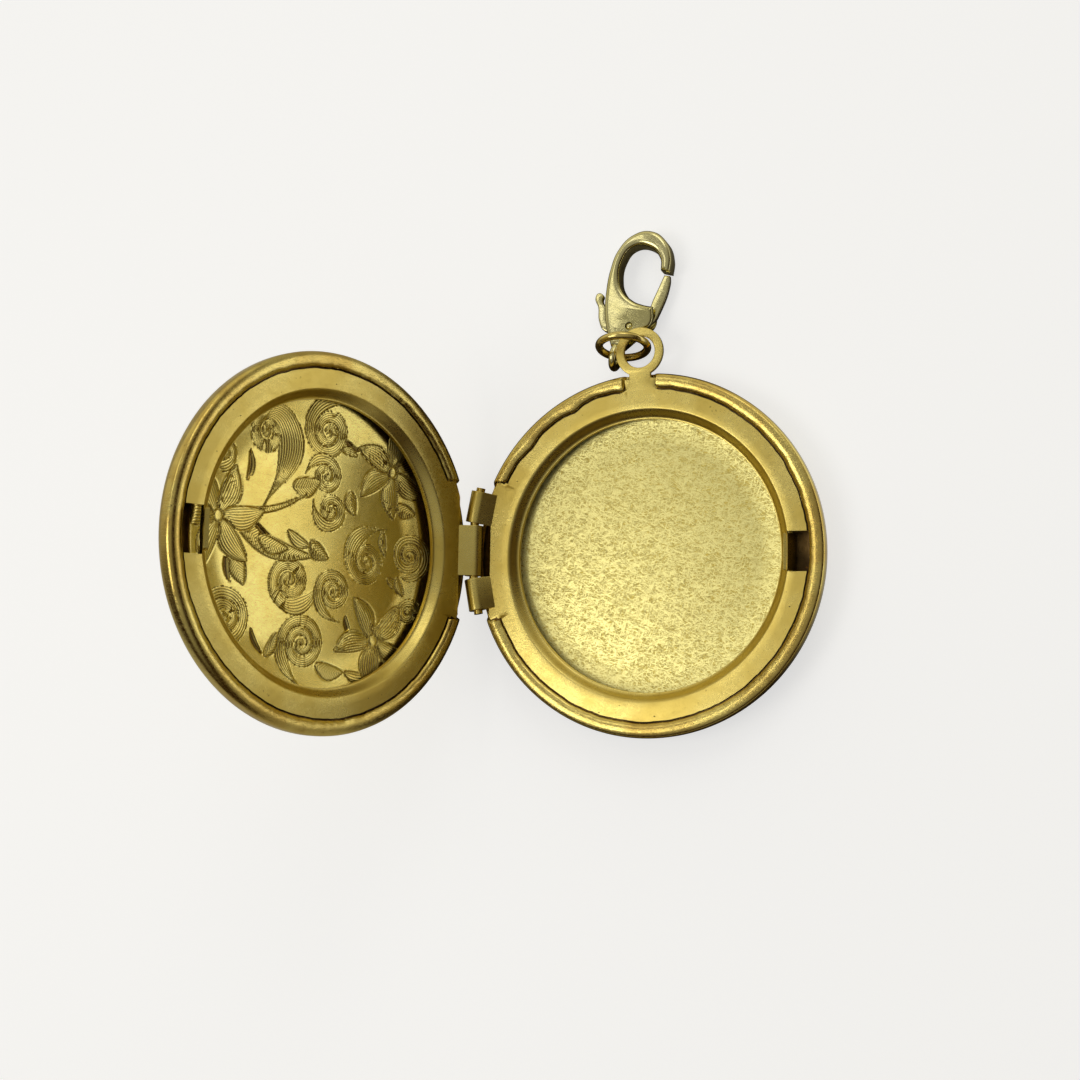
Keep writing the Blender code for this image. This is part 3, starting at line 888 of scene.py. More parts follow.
@dataclass(frozen=True)
class Scroll:
    """Comma-shaped scroll of parallel lines that winds into its centre."""

    x: float
    y: float
    radius: float
    turns: float
    start: float
    hand: int
    tail: float
    tail_bend: float = 0.25
    broad: float = 1.0

    def path(self) -> tuple[np.ndarray, np.ndarray]:
        """Centre line of the band and its half width at each point.

        Returns:
            The line's points and the half widths.
        """
        steps = int(40 * self.turns)
        t = np.linspace(0.02, 1.0, steps)
        angle = math.radians(self.start) + self.hand * 2 * math.pi * self.turns * (t - 1.0)
        reach = self.radius * t
        line = np.stack([self.x + reach * np.cos(angle), self.y + reach * np.sin(angle)], axis=1)
        pitch = self.radius / self.turns / 2
        half = np.full(steps, pitch) * np.minimum(1.0, 0.35 + t)
        heading = line[-1] - line[-2]
        heading = math.atan2(heading[1], heading[0])
        step, point, tail = 0.08, line[-1], []
        count = int(self.tail / step)
        for i in range(count):
            share = (i + 1) / count
            curve = (1 - share) / self.radius + share * self.tail_bend / self.radius
            heading += self.hand * curve * step
            point = point + step * np.array([math.cos(heading), math.sin(heading)])
            tail.append(point)
        if tail:
            share = np.linspace(0.0, 1.0, count)
            swell = 1.0 + (self.broad - 1.0) * np.sin(math.pi * share)
            line = np.vstack([line, tail])
            half = np.concatenate([half, pitch * swell * (1.0 - ease((share - 0.35) / 0.65) * 0.92)])
        return line, half

    def stamp(self, relief: Relief) -> None:
        """Press the band and its lines into the relief.

        Args:
            relief: the relief to press into.
        """
        line, half = self.path()
        low, high = line.min(axis=0) - half.max(), line.max(axis=0) + half.max()
        near = (relief.x > low[0]) & (relief.x < high[0])
        near &= (relief.y > low[1]) & (relief.y < high[1])
        where = np.nonzero(near)[0]
        if not len(where):
            return
        spot = np.stack([relief.x[where], relief.y[where]], axis=1)
        gaps = np.linalg.norm(spot[:, None, :] - line[None, :, :], axis=2)
        nearest = (gaps / half[None, :]).argmin(axis=1)
        along = np.gradient(line, axis=0)
        along /= np.linalg.norm(along, axis=1, keepdims=True)
        side = np.stack([-along[:, 1], along[:, 0]], axis=1)
        offset = ((spot - line[nearest]) * side[nearest]).sum(axis=1)
        room = half[nearest]
        keep = gaps[np.arange(len(where)), nearest] <= room * 1.04
        where, offset, room = where[keep], offset[keep], room[keep]
        share = offset / room
        lines = np.maximum(1.0, np.round(2 * half.max() / relief.line_pitch))
        phase = (share + 1.0) / 2 * lines
        edge = np.clip((np.abs(share) - 0.9) / 0.1, 0.0, 1.0)
        relief.put(where, 0.06 * np.clip(1 - share ** 2, 0, 1) ** 0.5, edge, phase)


# Seen in the open front half: x runs away from the hinge, y towards the bail
MOTIFS: tuple[Leaf | Flower | Scroll, ...] = (
    Scroll(5.3, 8.8, 1.6, 1.6, 70.0, 1, 10.5, -0.2, 2.7),
    Scroll(-1.0, 9.7, 2.0, 2.1, 350.0, 1, 8.0, 0.15, 1.4),
    Scroll(-0.9, 5.9, 1.35, 1.7, 110.0, -1, 3.4, 0.3, 1.2),
    Scroll(-1.5, 3.0, 1.3, 1.6, 250.0, 1, 3.8, 0.5, 1.3),
    Scroll(-5.6, -1.1, 1.7, 1.7, 335.0, 1, 6.6, 0.15, 1.5),
    Scroll(-10.5, -0.3, 1.9, 2.4, 250.0, 1, 1.6, 1.0, 0.8),
    Scroll(2.6, -3.3, 1.9, 1.9, 290.0, -1, 4.6, 0.4, 1.6),
    Scroll(-2.0, -3.9, 1.6, 2.1, 10.0, -1, 4.2, 0.3, 1.3),
    Scroll(1.2, -8.4, 2.1, 2.4, 15.0, -1, 5.0, 0.0, 1.4),
    Scroll(9.0, -6.6, 2.2, 2.4, 40.0, -1, 3.5, 0.3, 1.1),
    Scroll(9.6, 6.6, 0.9, 1.4, 200.0, 1, 2.6, 0.2, 1.5),
    Scroll(-10.3, -5.4, 0.9, 1.4, 90.0, 1, 2.4, 0.3, 1.1),
    Leaf(-2.9, 9.3, 205.0, 1.9, 0.5, Veins.SLIT),
    Leaf(-4.3, 8.0, 10.0, 2.0, 0.7, Veins.ALONG),
    Leaf(-3.6, 4.9, 255.0, 2.2, 1.3, Veins.ACROSS),
    Leaf(2.6, 4.6, 165.0, 3.0, 1.7, Veins.ACROSS),
    Leaf(9.3, 2.4, 168.0, 8.4, 0.5, Veins.ACROSS),
    Leaf(8.6, 1.6, 198.0, 8.8, 1.7, Veins.ACROSS),
    Leaf(7.2, 4.6, 95.0, 2.6, 0.5, Veins.SLIT),
    Leaf(6.2, 1.3, 210.0, 3.4, 0.5, Veins.SLIT),
    Leaf(6.0, 0.2, 195.0, 3.2, 1.3, Veins.ACROSS),
    Leaf(3.0, 0.9, 205.0, 2.8, 1.0, Veins.ALONG),
    Leaf(0.6, 0.2, 215.0, 2.4, 1.4, Veins.ACROSS),
    Leaf(8.0, -1.0, 255.0, 3.0, 1.6, Veins.ACROSS),
    Leaf(8.9, -1.2, 262.0, 2.6, 0.45, Veins.SLIT),
    Leaf(6.4, -7.3, 240.0, 2.4, 0.45, Veins.SLIT),
    Leaf(-8.9, 4.2, 200.0, 2.2, 1.2, Veins.ACROSS),
    Leaf(-7.4, 1.8, 260.0, 2.4, 0.8, Veins.ALONG),
    Leaf(-8.0, -2.4, 200.0, 2.0, 0.8, Veins.ALONG),
    Leaf(-9.2, -2.2, 250.0, 1.9, 0.8, Veins.ALONG),
    Leaf(-3.4, -5.9, 245.0, 2.1, 0.5, Veins.SLIT),
    Leaf(-0.2, -10.2, 190.0, 3.0, 1.4, Veins.ACROSS),
    Leaf(-3.2, -10.8, 185.0, 3.4, 1.1, Veins.ALONG),
    Leaf(5.0, -9.6, 120.0, 2.4, 0.9, Veins.ACROSS),
    Flower(-8.2, 7.0, 6, 85.0, 3.9),
    Flower(-6.5, -8.0, 5, 60.0, 4.0),
    Flower(9.9, 1.5, 6, 50.0, 4.2),
)


def stamped(x: np.ndarray, y: np.ndarray, reach: float) -> Relief:
    """Whole relief at a set of points of the front half.

    Args:
        x: across the half, away from the hinge.
        y: along the half, in the half's own direction.
        reach: radius at which it has faded out.

    Returns:
        The relief with its heights, edges and lines.
    """
    relief = Relief(x, -y)
    for motif in MOTIFS:
        motif.stamp(relief)
    fade = 1.0 - ease((np.hypot(x, y) - reach) / 0.6 + 1.0)
    relief.height *= fade
    relief.edge *= fade
    relief.phase = 0.5 + (relief.phase - 0.5) * (fade > 0.3)
    return relief


# ----------------------------------------------------------------- the halves


@dataclass
class Half:
    """What the two stamped halves have in common."""

    name: str
    body: str
    place: Matrix
    hinge_shift: float
    floor: float
    dish_start: float
    dish_rise: float
    slot_width: float
    seed: int
    radius: float = 16.0
    depth: float = 3.3
    flat: float = 11.6
    wall: float = 0.35
    belly: float = 2.3
    lip: float = 14.7
    plate: float = 0.35
    plate_top: float = 2.95
    window: float = 12.1
    slope: float = 0.85
    drop: float = 0.75
    notch: float = 5.9
    hinge_x: float = -16.1
    hinge_z: float = 3.4
    knuckle: float = 0.635
    flange: float = 1.45
    slot_inner: float = 12.75
    slot_outer: float = 14.65
    knuckle_roll: float = 285.0
    knuckle_half: float = 2.3
    knuckle_gap: float = 0.28
    outer_knuckle: float = 2.9
    crevice: float = 0.14
    crevice_shade_reach: float = 0.16
    lift: float = 0.5
    dish_end: float = 13.2
    dish_fade: float = 12.6
    dish_fade_width: float = 2.4
    under: float = 0.0
    under_reach: float = 12.8
    floor_reach: float = 12.75
    floor_radii: tuple[float, ...] = (11.3, 11.0, 10.7, 10.4, 10.1, 9.8, 9.4, 9.0, 8.5, 7.5, 5.0, 2.0)
    steps: int = 480
    plate_steps: int = 480
    speck_band: Point = (13.1, 14.6)
    speck_steps: int = 120
    speck_density: float = 0.16
    speck_size: float = 0.09
    burr_count: int = 110
    burr_size: float = 0.06

    def angles(self) -> np.ndarray:
        """Angles of the shell's steps, from -45 degrees on."""
        return -math.pi / 4 + 2 * math.pi * np.arange(self.steps) / self.steps

    def open_share(self, x: np.ndarray, y: np.ndarray) -> np.ndarray:
        """How much of the rim stands at a place, 0 in a notch and 1 elsewhere.

        Args:
            x: first coordinates of the places.
            y: second coordinates of the places.

        Returns:
            The shares.
        """
        beside = ease((np.abs(y - self.hinge_shift) - self.notch) / 0.45)
        return np.where(x < -self.window, beside, 1.0)

    def lip_edge(self, angles: np.ndarray) -> np.ndarray:
        """How far the crimped edge strays from its circle.

        Args:
            angles: angles in radians.

        Returns:
            How far outwards it lies at each angle.
        """
        broad = 0.035 * smooth_random(self.seed, 90, angles)
        return broad + 0.02 * smooth_random(self.seed + 1, 240, angles)

    def rim_section(self) -> list[tuple[float, float, float, float, float]]:
        """Rim points as (radius, height, radius and height in a notch, share of the edge's straying).

        Returns:
            The points, from the outer wall over the rim and back inside.
        """
        top, seat = self.depth, self.depth - 0.3
        outer, inner = self.radius, self.radius - self.wall
        notch = self.belly + 0.02
        return [(outer, 2.62, outer, self.belly + 0.01, 0.0),
                (outer - 0.01, 2.86, outer - 0.02, notch, 0.0),
                (outer - 0.06, 3.04, outer - 0.04, notch, 0.0),
                (outer - 0.17, 3.18, outer - 0.07, notch, 0.0),
                (outer - 0.34, 3.27, outer - 0.11, notch, 0.0),
                (outer - 0.55, top, outer - 0.15, notch, 0.2),
                (outer - 0.80, 3.29, outer - 0.19, notch, 0.5),
                (outer - 1.02, 3.25, outer - 0.23, notch, 0.8),
                (self.lip + 0.12, 3.18, outer - 0.26, notch, 1.0),
                (self.lip + 0.02, 3.09, outer - 0.29, notch, 1.0),
                (self.lip, 3.02, outer - 0.31, notch, 1.0),
                (self.lip + 0.05, seat - 0.01, outer - 0.33, notch, 0.6),
                (inner - 0.02, seat - 0.01, inner - 0.01, notch - 0.01, 0.0),
                (inner, seat - 0.1, inner, self.belly, 0.0)]

    def shell_rings(self) -> np.ndarray:
        """Rings of the shell from its outer flat over the rim to its inner floor.

        Returns:
            Array of shape (rings, steps, 3).
        """
        angles = self.angles()
        across, up = np.cos(angles), np.sin(angles)
        shoulder = self.radius - self.flat
        outside = arc((self.flat, self.belly), (shoulder, self.belly), -math.pi / 2, 0.0, 16)
        hollow = (shoulder - self.wall, self.belly - self.floor)
        inside = arc((self.flat, self.belly), hollow, 0.0, -math.pi / 2, 14)
        rings = [np.stack([r * across, r * up, np.full_like(across, z)], axis=1) for r, z in outside]
        stray = self.lip_edge(angles)
        for r, z, low_r, low_z, loose in self.rim_section():
            reach = r + loose * stray
            stand = self.open_share(reach * across, reach * up)
            reach = low_r + (reach - low_r) * stand
            rings.append(np.stack([reach * across, reach * up, low_z + (z - low_z) * stand], axis=1))
        for r, z in inside[1:] + [(r, self.floor) for r in self.floor_radii]:
            height = z + self.dish(r) - (self.under if r < self.under_reach else 0.0)
            rings.append(np.stack([r * across, r * up, np.full_like(across, height)], axis=1))
        return np.array(rings)

    def dish(self, radius: float) -> float:
        """Rise of the floor, more near its edge and gone again where the shoulder takes over.

        Args:
            radius: distance from the middle of the half.

        Returns:
            The rise there.
        """
        share = (radius - self.dish_start) / (self.dish_end - self.dish_start)
        rise = float(ease(np.array(share))) * self.dish_rise
        faded = float(1.0 - ease(np.array((radius - self.dish_fade) / self.dish_fade_width)))
        return (self.lift + rise) * faded

    def face_kinds(self, cloth: Cloth) -> np.ndarray:
        """Number each face: 0 outside and rim, 1 floor in the window, 2 the space behind the plate, which
        takes a dark finish as painted shade.

        Args:
            cloth: surface of the shell.

        Returns:
            The number of each face.
        """
        middle = cloth.middles()
        far, height = np.hypot(middle[:, 0], middle[:, 1]), middle[:, 2]
        inner_wall = (far < self.radius - self.wall + 0.01) & (height < 2.98)
        inner_wall &= height > self.floor * 0.5
        reach = np.clip((far - self.flat) / (self.radius - self.flat), 0.0, 1.0)
        outside = height < self.belly * (1.0 - np.sqrt(1.0 - reach ** 2)) + 0.12
        inner = inner_wall & ~outside
        return np.where(inner & (far < self.floor_reach), 1, np.where(inner, 2, 0))

    def plate_section(self) -> list[tuple[float, float, float, float]]:
        """Closed section of the ring plate.

        Returns:
            Radius, height, share of the lip's straying and depth of the crevice at each point.
        """
        top, under = [], []
        steps = 14
        for i in range(steps + 1):
            share = i / steps
            rise = float(ease(np.array(share)))
            height = self.plate_top - self.drop * (1 - rise)
            top.append((self.window + self.slope * share, height, 0.0, 0.0))
            under.append((self.window + self.slope * share, height - self.plate, 0.0, 0.0))
        edge = self.radius - self.wall - 0.05
        rim = [(13.6, self.plate_top, 0.0, 0.0),
               (self.lip - 0.17, self.plate_top, 1.0, 0.0),
               (self.lip - 0.10, self.plate_top, 1.0, self.crevice),
               (self.lip + 0.2, self.plate_top, 1.0, self.crevice),
               (edge, self.plate_top, 0.0, 0.0),
               (edge, self.plate_top - self.plate, 0.0, 0.0)]
        nose = [(self.window - 0.03, self.plate_top - self.drop - 0.12, 0.0, 0.0),
                (self.window - 0.03, self.plate_top - self.drop - self.plate + 0.12, 0.0, 0.0)]
        return top + rim + under[::-1] + nose[::-1]

    def ring_plate(self) -> Cloth:
        """Ring plate with its catch opening and with room for the knuckles.

        Returns:
            Its surface.
        """
        angles = self.angles()[::self.steps // self.plate_steps]
        across, up, stray = np.cos(angles), np.sin(angles), self.lip_edge(angles)
        stand = self.open_share(self.lip * across, self.lip * up)
        rows = []
        for r, z, loose, sink in self.plate_section():
            reach = r + loose * stray
            rows.append(np.stack([reach * across, reach * up, z - sink * stand], axis=1))
        rings = np.array(rows)
        count, steps, _ = rings.shape
        faces = [(k * steps + i, k * steps + (i + 1) % steps,
                  (k + 1) % count * steps + (i + 1) % steps, (k + 1) % count * steps + i)
                 for k in range(count) for i in range(steps)]
        plate = Cloth(rings.reshape(-1, 3), faces)
        half = self.knuckle_half + 2 * self.knuckle_gap + self.outer_knuckle
        opening = block((self.slot_inner, -self.slot_width / 2, 0.8),
                        (self.slot_outer, self.slot_width / 2, 4.0))
        room = block((self.hinge_x - 1, self.hinge_shift - half, 1.0),
                     (self.hinge_x + self.flange, self.hinge_shift + half, 4.0))
        plate = cut(plate, [opening, room])
        plate.kinds = self.crevice_shade_kinds(plate)
        return plate

    def crevice_shade_kinds(self, plate: Cloth) -> np.ndarray:
        """Number each face of the plate: 1 in the crevice along the crimped lip, which is painted dark as
        shade, 0 elsewhere.

        Args:
            plate: surface of the plate.

        Returns:
            The number of each face.
        """
        x, y, z = plate.middles().T
        lip = self.lip + self.lip_edge(np.arctan2(y, x))
        # Painted shade: a thin band of plate faces along the lip takes the dark finish.
        inside = (np.hypot(x, y) > lip - self.crevice_shade_reach) & (z > self.plate_top - 0.2)
        return (inside & (self.open_share(x, y) > 0.8)).astype(int)

    def knuckle_line(self) -> list[Point]:
        """Centre line of the sheet that leaves the plate and rolls over the pin.

        Returns:
            Its points in X and Z.
        """
        start = Vector((self.hinge_x + self.flange, self.plate_top - self.plate / 2))
        reach = start - Vector((self.hinge_x, self.hinge_z))
        touch = math.atan2(reach.y, reach.x) + math.acos(self.knuckle / reach.length)
        end = touch + math.radians(self.knuckle_roll)
        roll = arc((self.hinge_x, self.hinge_z), (self.knuckle,) * 2, touch, end, 44)
        return [(start.x + 1.2 * self.plate, start.y - 0.06), tuple(start)] + roll

    def sheet(self, line: Sequence[Point], width: float, rounding: float = 0.05) -> Cloth:
        """Bent strip drawn in X and Z, its width along Y.

        Args:
            line: points of the strip's centre line.
            width: its width.
            rounding: radius of its edges.

        Returns:
            Its surface, centred on Y = 0.
        """
        left, right = [], []
        for i, point in enumerate(line):
            before, after = Vector(line[max(i - 1, 0)]), Vector(line[min(i + 1, len(line) - 1)])
            along = (after - before).normalized()
            side = Vector((-along.y, along.x)) * self.plate / 2
            left.append(Vector(point) + side)
            right.append(Vector(point) - side)
        outline = [(p.x, p.y, True) for p in left + right[::-1]]
        return slab([outline], width / 2, rounding).moved(turn("X", 90))

    def speck_ground(self) -> Cloth:
        """Flat of the ring plate, without its catch opening and its hinge side.

        Returns:
            The faces that specks may lie on.
        """
        count = self.speck_steps
        angles = 2 * math.pi * np.arange(count) / count
        level = np.full_like(angles, self.plate_top)
        rings = np.array([np.stack([r * np.cos(angles), r * np.sin(angles), level], axis=1)
                          for r in self.speck_band])
        keep = [i for i in range(count) if 14 < (math.degrees(angles[i]) + 3) % 360 < 346
                and not 152 < math.degrees(angles[i]) < 208]
        faces = [(i, count + i, count + (i + 1) % count, (i + 1) % count) for i in keep]
        return Cloth(rings.reshape(-1, 3), faces)

    def crimp_path(self) -> tuple[Cloth, list[tuple[int, int]]]:
        """Line along the crimped edge, broken at its notches.

        Returns:
            The line's points and its edges.
        """
        angles = self.angles()
        reach = self.lip - 0.01 + self.lip_edge(angles)
        x, y = reach * np.cos(angles), reach * np.sin(angles)
        stand = self.open_share(x, y) > 0.99
        path = np.stack([x, y, np.full_like(x, self.plate_top + 0.06)], axis=1)
        edges = [(i, i + 1) for i in range(self.steps - 1) if stand[i] and stand[i + 1]]
        return Cloth(path, []), edges

    def crumbs(self, specks: bpy.types.NodeTree, burrs: bpy.types.NodeTree) -> None:
        """Dark specks on the ring plate and burrs along the crimped edge.

        Args:
            specks: tree that sets crumbs over a surface.
            burrs: tree that sets crumbs along a path.
        """
        values = {"Amount": self.speck_density / MM ** 2, "Size": self.speck_size * MM,
                  "Flatness": 0.3, "Seed": self.seed}
        made = run_tree(specks, self.speck_ground(), values)
        result = [piece(f"{self.name}_plate_specks", made, self.place, [FINISH.dirt])]
        path, edges = self.crimp_path()
        values = {"Amount": self.burr_count, "Size": self.burr_size * MM,
                  "Flatness": 0.5, "Seed": self.seed}
        made = run_tree(burrs, path, values, edges)
        result.append(piece(f"{self.name}_crimp_burrs", made, self.place, [FINISH.burr]))
        for item in result:
            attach(item, self.body)

    def dress(self, item: bpy.types.Object, node: str) -> None:
        """Ride on the half and stand for its node.

        Args:
            item: the finished piece.
            node: name of the node that it stands for.
        """
        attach(item, self.body)
        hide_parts(node)

    def shell(self) -> None:
        """Build the stamped shell, which each half has in its own form."""
        raise NotImplementedError

    def frame(self) -> None:
        """Build the ring plate, which each half has in its own form."""
        raise NotImplementedError

    def build(self, specks: bpy.types.NodeTree, burrs: bpy.types.NodeTree) -> None:
        """Build every piece of the half.

        Args:
            specks: tree that sets crumbs over a surface.
            burrs: tree that sets crumbs along a path.
        """
        self.shell()
        self.frame()
        self.crumbs(specks, burrs)


@dataclass
class BackHalf(Half):
    """Half that carries the bail, the two outer knuckles and the catch's slot."""

    name: str = "back"
    body: str = "back_half"
    place: Matrix = field(default_factory=Matrix)
    hinge_shift: float = 0.5
    floor: float = 0.45
    dish_start: float = 10.0
    dish_rise: float = 0.15
    slot_width: float = 3.4
    seed: int = 11
    bail_lean: float = 1.5
    bail_distance: float = 18.0
    eyelet: float = 2.2
    hole: float = 1.42
    neck: float = 2.0
    fillet: Point = (0.9, 1.0)
    fillet_at: float = 15.45
    root_at: float = 13.9
    bail_tilt: float = 0.8
    tilt_at: float = 15.4
    proud: float = 0.012
    knuckle_slant: float = 11.0
    tab_width: float = 3.1
    flats: int = 3
    flats_from: float = 97.0
    flats_to: float = 157.0
    flats_depth: float = 0.26

    def open_share(self, x: np.ndarray, y: np.ndarray) -> np.ndarray:
        """Rim share with the bail's notch too.

        Args:
            x: first coordinates of the places.
            y: second coordinates of the places.

        Returns:
            The shares.
        """
        lean = math.radians(self.bail_lean)
        across = np.abs(x * math.cos(lean) + y * math.sin(lean))
        beside = ease((across - self.neck / 2 - 0.1) / 0.5)
        return np.minimum(super().open_share(x, y), np.where(y > 0, beside, 1.0))

    def lip_edge(self, angles: np.ndarray) -> np.ndarray:
        """Straying edge, pressed in straight flats between the bail and the hinge.

        Args:
            angles: angles in radians.

        Returns:
            How far outwards it lies at each angle.
        """
        low, high = math.radians(self.flats_from), math.radians(self.flats_to)
        width = (high - low) / self.flats
        turned = angles % (2 * math.pi)
        inside = (turned > low) & (turned < high)
        local = (turned - low) % width - width / 2
        chord = self.lip * (1.0 / np.cos(local) - 1.0) / (1.0 / math.cos(width / 2) - 1.0)
        press = self.flats_depth * (chord / self.lip - 0.4)
        return super().lip_edge(angles) + np.where(inside, -press, 0.0)

    def shell(self) -> None:
        """Stamped shell with its scratched floor."""
        cloth = revolve(self.shell_rings())
        cloth.kinds = self.face_kinds(cloth)
        # Face kind 2, the space behind the plate, takes the dark finish that paints its shade.
        finishes = [FINISH.bezel, FINISH.floor, FINISH.inside]
        self.dress(piece("back_shell_brass", cloth, self.place, finishes), "back_shell")

    def bail(self) -> Cloth:
        """Flat neck and eyelet with filleted roots.

        Returns:
            Its surface.
        """
        half = self.neck / 2
        meet = math.asin(half / self.eyelet)
        centre = (0.0, self.bail_distance)
        ring = arc(centre, (self.eyelet,) * 2, meet - math.pi / 2, 1.5 * math.pi - meet, 48)
        wide = self.fillet[0]
        left = arc((-half - wide, self.fillet_at), self.fillet, 0.0, -math.pi / 2, 8)
        right = arc((half + wide, self.fillet_at), self.fillet, 1.5 * math.pi, math.pi, 8)
        root = [(-half - wide, self.root_at), (half + wide, self.root_at)]
        outline = [(x, y, True) for x, y in ring + left + root + right]
        hole = arc(centre, (self.hole,) * 2, 0.0, -2 * math.pi, 56)[:-1]
        cloth = slab([outline, [(x, y, True) for x, y in hole]], self.plate / 2, 0.07)
        height = self.plate_top - self.plate / 2 + self.proud
        lean = turn("Z", self.bail_lean) @ shift(0.0, self.tilt_at, height)
        return cloth.moved(lean @ turn("X", self.bail_tilt) @ shift(0.0, -self.tilt_at, 0.0))

    def frame(self) -> None:
        """Ring plate with bail, slanted knuckles and the slot's tab."""
        cloth = self.ring_plate().join(self.bail())
        for side in (1, -1):
            inner = self.hinge_shift + side * (self.knuckle_half + self.knuckle_gap)
            outward = shift(-self.hinge_x, side * self.outer_knuckle / 2, 0.0)
            place = shift(self.hinge_x, inner, 0.0) @ turn("Z", -side * self.knuckle_slant) @ outward
            cloth = cloth.join(self.sheet(self.knuckle_line(), self.outer_knuckle).moved(place))
        middle = self.plate_top - self.plate / 2
        tab = [(self.slot_inner - 0.35, middle), (self.slot_inner - 0.09, middle - 0.09),
               (self.slot_inner + 0.13, middle - 0.5), (self.slot_inner + 0.35, middle - 1.1)]
        cloth = cloth.join(self.sheet(tab, self.tab_width, 0.04))
        # The plate's crevice faces take the dark finish that paints the shade along the lip.
        item = piece("back_frame_brass", cloth, self.place, [FINISH.plate, FINISH.inside])
        self.dress(item, "back_frame")


@dataclass
class FrontHalf(Half):
    """Half with the stamped cover, the centre knuckle and the catch's tongue."""

    name: str = "front"
    body: str = "front_half"
    place: Matrix = field(default_factory=Matrix)
    hinge_shift: float = -0.5
    floor: float = 0.3
    dish_start: float = 9.4
    dish_rise: float = 0.5
    lift: float = 0.35
    slot_width: float = 3.8
    seed: int = 23
    open_angle: float = 109.3
    outer_grid: int = 240
    inner_grid: int = 300
    outer_relief: float = 0.9
    inner_reach: float = 12.9
    sunk: float = 0.12
    raised: float = 0.015
    tongue_width: float = 3.1
    under: float = 0.13
    steps: int = 960

    def __post_init__(self) -> None:
        """Open the half about its hinge."""
        lift = turn("Y", 180.0 - self.open_angle) @ turn("Z", 180.0)
        self.place = shift(self.hinge_x, 0, self.hinge_z) @ lift @ shift(-self.hinge_x, 0, -self.hinge_z)

    def shell(self) -> None:
        """Shell whose outer face carries the relief, and its stamped inner face."""
        rings = self.shell_rings()
        cloth = revolve(rings)
        flat, faces, rim = disc_grid(self.outer_grid, self.flat)
        relief = stamped(flat[:, 0], flat[:, 1], self.flat)
        centre = len(cloth.points) - 2
        walls = [face for face in cloth.faces if centre not in face]
        base = len(cloth.points)
        points = np.vstack([cloth.points, np.column_stack([flat, relief.height * self.outer_relief])])
        points[base + rim] = rings[0]
        walls += [tuple(base + i for i in reversed(face)) for face in faces]
        plain = len(walls) - len(faces)
        kinds = self.face_kinds(Cloth(points, walls[:plain]))
        kinds = np.concatenate([np.where(kinds == 1, 2, kinds), np.ones(len(faces), int)])
        marks = {label: np.roll(values, base) for label, values in relief.marks(base).items()}
        used = Cloth(points, walls, kinds, marks)
        # Kind 2, the space behind the plate and the floor under the engraved face, takes the dark finish
        # that paints shade.
        finishes = [FINISH.bezel, FINISH.cover, FINISH.inside]
        self.dress(piece("front_shell_brass", used, self.place, finishes), "front_shell")
        self.engraved_face()

    def engraved_face(self) -> None:
        """Stamped inner face, as a thin closed sheet set into the floor."""
        reach = self.inner_reach
        flat, faces, rim = disc_grid(self.inner_grid, reach)
        relief = stamped(flat[:, 0], flat[:, 1], reach)
        far = np.hypot(flat[:, 0], flat[:, 1])
        radii = np.linspace(0.0, reach + 0.1, 200)
        floor = np.interp(far, radii, [self.floor_height(float(r)) for r in radii])
        top = np.column_stack([flat, floor + relief.height + self.raised])
        middle = np.array([0.0, 0.0, self.floor - self.sunk])
        edge = top[rim] * np.array([1.0, 1.0, 0.0]) + middle
        points = np.vstack([top, edge, [middle]])
        base, count = len(top), len(rim)
        for i in range(count):
            j = (i + 1) % count
            faces.append((int(rim[i]), base + i, base + j, int(rim[j])))
            faces.append((base + i, base + count, base + j))
        sheet = Cloth(points, faces, marks=relief.marks(count + 1))
        item = piece("front_engraved_face", sheet, self.place, [FINISH.cover])
        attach(item, self.body)

    def floor_height(self, radius: float) -> float:
        """Height of the inner face at a radius.

        Args:
            radius: distance from the middle of the half.

        Returns:
            The height there.
        """
        if radius <= self.flat:
            return self.floor + self.dish(radius)
        reach = (radius - self.flat) / (self.radius - self.flat - self.wall)
        fall = (self.belly - self.floor) * math.sqrt(1.0 - reach ** 2)
        return self.belly - fall + self.dish(radius)

    def frame(self) -> None:
        """Ring plate with the centre knuckle and the catch's tongue."""
        knuckle = self.sheet(self.knuckle_line(), 2 * self.knuckle_half)
        cloth = self.ring_plate().join(knuckle.moved(shift(0.0, self.hinge_shift, 0.0)))
        root = self.plate_top - self.drop / 2
        tongue = [(12.3, root), (12.45, root + 0.4),
                  (12.8, self.plate_top + 0.4), (13.25, self.plate_top + 1.2)]
        cloth = cloth.join(self.sheet(tongue, self.tongue_width, 0.06))
        # The plate's crevice faces take the dark finish that paints the shade along the lip.
        item = piece("front_frame_brass", cloth, self.place, [FINISH.plate, FINISH.inside])
        self.dress(item, "front_frame")


# ------------------------------------------------------- hinge, ring and clasp


@dataclass
class HingePin:
    """Wire pin that follows the slanted outer knuckles."""

    radius: float = 0.4
    x: float = -16.1
    z: float = 3.4
    middle: float = 0.5
    half: float = 2.58
    length: float = 3.25
    slant: float = 11.0

    def build(self, tree: bpy.types.NodeTree) -> bpy.types.Object:
        """Build the pin with flat closed ends.

        Args:
            tree: the wire tree.

        Returns:
            The pin.
        """
        path = []
        for side in (1, -1):
            bend = Vector((self.x, self.middle + side * self.half, self.z))
            along = (turn("Z", -side * self.slant) @ Vector((0.0, side, 0.0))).normalized()
            run = [bend + along * self.length * k for k in (1.0, 0.66, 0.33, 0.06)]
            path += run if side == 1 else run[::-1]
        cloth = wire(tree, path, self.radius, FINISH.hinge, 28)
        item = piece("hinge_pin_brass", cloth, Matrix(), [FINISH.hinge])
        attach(item, "back_half")
        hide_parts("hinge_pin")
        return item


